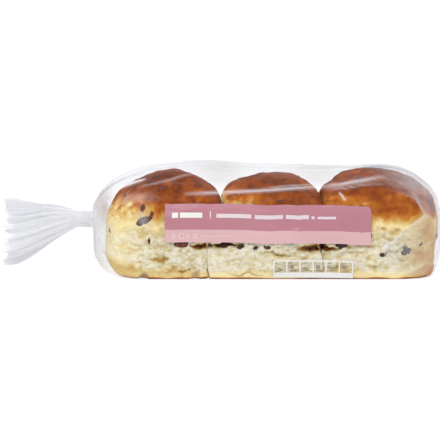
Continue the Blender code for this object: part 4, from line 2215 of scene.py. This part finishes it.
@dataclass(frozen=True)
class Patch:
    """A plain printed shape on the front film, whose upper right corner may be rounded."""

    left: float
    right: float
    low: float
    high: float
    top_corner: float = 0.0

    @classmethod
    def sized(cls, left: float, low: float, width: float, height: float) -> "Patch":
        """A patch by its lower left corner and its size."""
        return cls(left, left + width, low, low + height)

    def top_at(self, x: float) -> float:
        """The height of the patch's top at x, which its rounded corner takes down."""
        into = self.top_corner - (self.right - x)
        if self.top_corner <= 0 or into <= 0:
            return self.high
        return self.high - (self.top_corner - math.sqrt(max(self.top_corner**2 - into**2, 0.0)))

    def frame(self, line: float) -> list["Patch"]:
        """The top, the foot, the left and the right side of a thin frame round the patch."""
        return [
            Patch(self.left, self.right, self.high - line, self.high),
            Patch(self.left, self.right, self.low, self.low + line),
            Patch(self.left, self.left + line, self.low, self.high),
            Patch(self.right - line, self.right, self.low, self.high),
        ]


@dataclass
class Print:
    """All the print on the front film, in plain fields and simple shapes."""

    film: Film
    lift: float = 0.00022
    datum: float = 0.002
    slope: float = -0.0121
    step: float = 0.0016
    band_left: float = -0.0369
    band_right: float = 0.1013
    band_low: float = 0.0263
    band_split: float = 0.0349
    band_high: float = 0.0524
    band_corner: float = 0.0027
    line_height: float = 0.044
    line_size: float = 0.0024
    marks: tuple[Triple, ...] = (
        (-0.0322, 0.0042, 1.5),
        (-0.0268, 0.015, 1.5),
        (-0.0068, 0.0006, 1.9),
    )
    bars: tuple[Triple, ...] = (
        (-0.0025, 0.0235, 1.15),
        (0.0232, 0.019, 1.15),
        (0.044, 0.0155, 1.15),
        (0.0612, 0.0022, 0.85),
        (0.0652, 0.0125, 0.75),
    )
    icons_left: float = -0.0322
    icon_pitch: float = 0.0048
    icon_height: float = 0.0306
    icon_line: float = 0.0006
    icon_width_share: float = 0.85
    icon_sizes: tuple[float, ...] = (0.0028, 0.0042, 0.0026, 0.0028)
    small_line: Span = (0.0195, 0.04)
    panel_left: float = 0.0356
    panel_right: float = 0.0892
    panel_low: float = 0.003
    panel_split: float = 0.0068
    panel_high: float = 0.015
    panel_cells: int = 6
    panel_line: float = 0.0008
    cell_head: Triple = (0.0014, 0.0022, 0.0006)
    head_step: float = 0.0012
    cell_foot: tuple[float, float, float, float] = (0.0022, 0.001, 0.0044, 0.0007)
    cell_body: Triple = (0.0024, 0.0026, 0.0026)
    body_step: float = 0.0008
    inks: dict[Ink, Material] = field(init=False, default_factory=dict)

    def sheet(self, patch: Patch, lift: float) -> tuple[Array, Faces]:
        """Lays a patch on the film.

        Args:
            patch: the patch.
            lift: how far it stands off the film.

        Returns:
            Its points and faces.
        """
        columns = max(2, int((patch.right - patch.left) / self.step) + 1)
        rows = max(2, int((patch.high - patch.low) / self.step) + 1)
        share = np.linspace(0, 1, rows)
        points = np.zeros((columns, rows, 3))
        for index, x in enumerate(np.linspace(patch.left, patch.right, columns)):
            tilt = self.slope * (x - self.band_left)
            rise = mix(patch.low, patch.top_at(x), share) - self.datum + tilt
            found = self.film.front_point(x, rise, self.datum)
            points[index] = found[:, :3] + found[:, 3:] * lift
        return points, grid_faces(columns, rows, closed=False)

    def build_patches(self, name: str, patches: Sequence[Patch], lift: float, ink: Ink) -> None:
        """Joins patches of one ink into one piece that stands off the film by the lift."""
        pile = Pile()
        for patch in patches:
            pile.add(*self.sheet(patch, lift))
        place(add_mesh(name, pile.points, pile.faces), "label_print", self.inks[ink])

    def words(self, bars: Sequence[Triple]) -> list[Patch]:
        """Plain bars in place of words: their left end, length and share of the line's height."""
        foot = self.line_height - self.line_size / 2
        return [Patch.sized(left, foot, width, self.line_size * tall) for left, width, tall in bars]

    def icons(self) -> list[Patch]:
        """Draws the small square outlines in the lower band, and the thin line after them.

        Returns:
            Their patches.
        """
        found = []
        for index, size in enumerate(self.icon_sizes):
            left = self.icons_left + self.icon_pitch * index
            icon = Patch.sized(left, self.icon_height - size / 2, size * self.icon_width_share, size)
            found += icon.frame(self.icon_line)
        start, end = (self.icons_left + run for run in self.small_line)
        foot = self.icon_height - self.icon_line / 2
        return found + [Patch(start, end, foot, foot + self.icon_line)]

    def cell_marks(self, left: float, index: int) -> list[Patch]:
        """Draws the plain marks in one of the panel's boxes."""
        head_left, head_drop, head_height = self.cell_head
        foot_left, foot_rise, foot_width, foot_height = self.cell_foot
        body_left, body_rise, body_width = self.cell_body
        wide, tall = self.head_step * (1 + index % 3), self.body_step * (1 + index * 2 % 4)
        return [
            Patch.sized(left + head_left, self.panel_high - head_drop, wide, head_height),
            Patch.sized(left + foot_left, self.panel_split + foot_rise, foot_width, foot_height),
            Patch.sized(left + body_left, self.panel_split + body_rise, body_width, tall),
        ]

    def build_panel(self) -> None:
        """Builds the row of framed boxes over a white strip, with a few plain marks in them."""
        line = self.panel_line
        lines = [
            Patch(self.panel_left, self.panel_right, self.panel_low, self.panel_split),
            Patch(self.panel_left, self.panel_right, self.panel_high - line, self.panel_high),
        ]
        marks = []
        pitch = (self.panel_right - self.panel_left - line) / self.panel_cells
        for index in range(self.panel_cells + 1):
            left = self.panel_left + index * pitch
            lines.append(Patch(left, left + line, self.panel_split, self.panel_high - line))
            if index < self.panel_cells:
                marks += self.cell_marks(left, index)
        self.build_patches("panel_lines", lines, self.lift, Ink.WHITE)
        self.build_patches("panel_marks", marks, self.lift, Ink.GREY)

    def build(self) -> None:
        """Builds the label band, its plain marks and the small panel."""
        self.inks = {ink: ink.value.material() for ink in Ink}
        upper = Patch(self.band_left, self.band_right, self.band_split, self.band_high, self.band_corner)
        lower = Patch(self.band_left, self.band_right, self.band_low, self.band_split)
        self.build_patches("band_upper", [upper], self.lift, Ink.ROSE)
        self.build_patches("band_lower", [lower], self.lift, Ink.BLUSH)
        self.build_patches("band_marks", self.words(self.marks), self.lift * 2, Ink.WHITE)
        self.build_patches("band_line", self.words(self.bars), self.lift * 2, Ink.SOFT)
        self.build_patches("band_icons", self.icons(), self.lift * 2, Ink.PALE)
        self.build_panel()


# --- tape


@dataclass
class Tape:
    """The clear tape wound round the gathered neck."""

    around: int = 96
    rows: int = 9
    wall: float = 0.0006
    seed: int = 17
    bulges: int = 9
    bulge: float = 0.00012
    bulge_phase: float = 1.0
    unevenness: Lumps = Lumps(0.00005, 0.004)

    def build(self, material: Material) -> None:
        """Builds the tape as a closed band with softly uneven faces.

        Args:
            material: the tape's material.
        """
        middle = (TAPE_LOW.z + TAPE_HIGH.z) / 2
        outer = (TAPE_HIGH.z - TAPE_LOW.z) / 2
        turn = turns(self.around)
        share = np.linspace(0, 1, self.rows)[:, None]
        rings = []
        for radius, along in ((outer, share), (outer - self.wall, share[::-1])):
            bulges = self.bulge * np.cos(self.bulges * turn + self.bulge_phase)
            reach = radius + bulges * np.sin(np.pi * along)
            x = mix(TAPE_LOW.x, TAPE_HIGH.x, along) * np.ones_like(turn)
            rings.append(np.stack([x, reach * np.cos(turn), middle + reach * np.sin(turn)], axis=-1))
        grid = np.concatenate(rings)
        grid = grid + self.unevenness.at(Relief(self.seed), grid)[..., None]
        faces = grid_faces(*grid.shape[:2])
        last = (len(grid) - 1) * self.around
        for index in range(self.around):
            after = (index + 1) % self.around
            faces.append((last + index, last + after, after, index))
        piece = add_mesh("tape", grid, faces, haze=np.zeros(grid.shape[:2]))
        place(piece, "clear_tape", material, replaces=["neck_tape"])


# --- main


def main() -> None:
    """Builds the bag, its contents and the studio."""
    logging.basicConfig(level=logging.INFO, format="%(name)s: %(message)s", stream=sys.stdout)
    studio = Studio()
    studio.build()
    buns = Batch().buns()
    bread_material = BreadFinish().material()
    for bun in buns:
        bun.build(bread_material)
    bread = surface_tree(buns)
    FruitScatter().build(bread, studio, buns, FruitFinish().material())
    film = Film()
    film.build(bread, studio, FilmFinish().material())
    EndFold(film).build(FilmFinish("folded_film", least_haze=0.004).material())
    Print(film).build()
    Tape().build(FilmFinish("clear_tape", tint=(0.985, 0.985, 0.99), least_haze=0.03).material())


if __name__ == "__main__":
    main()
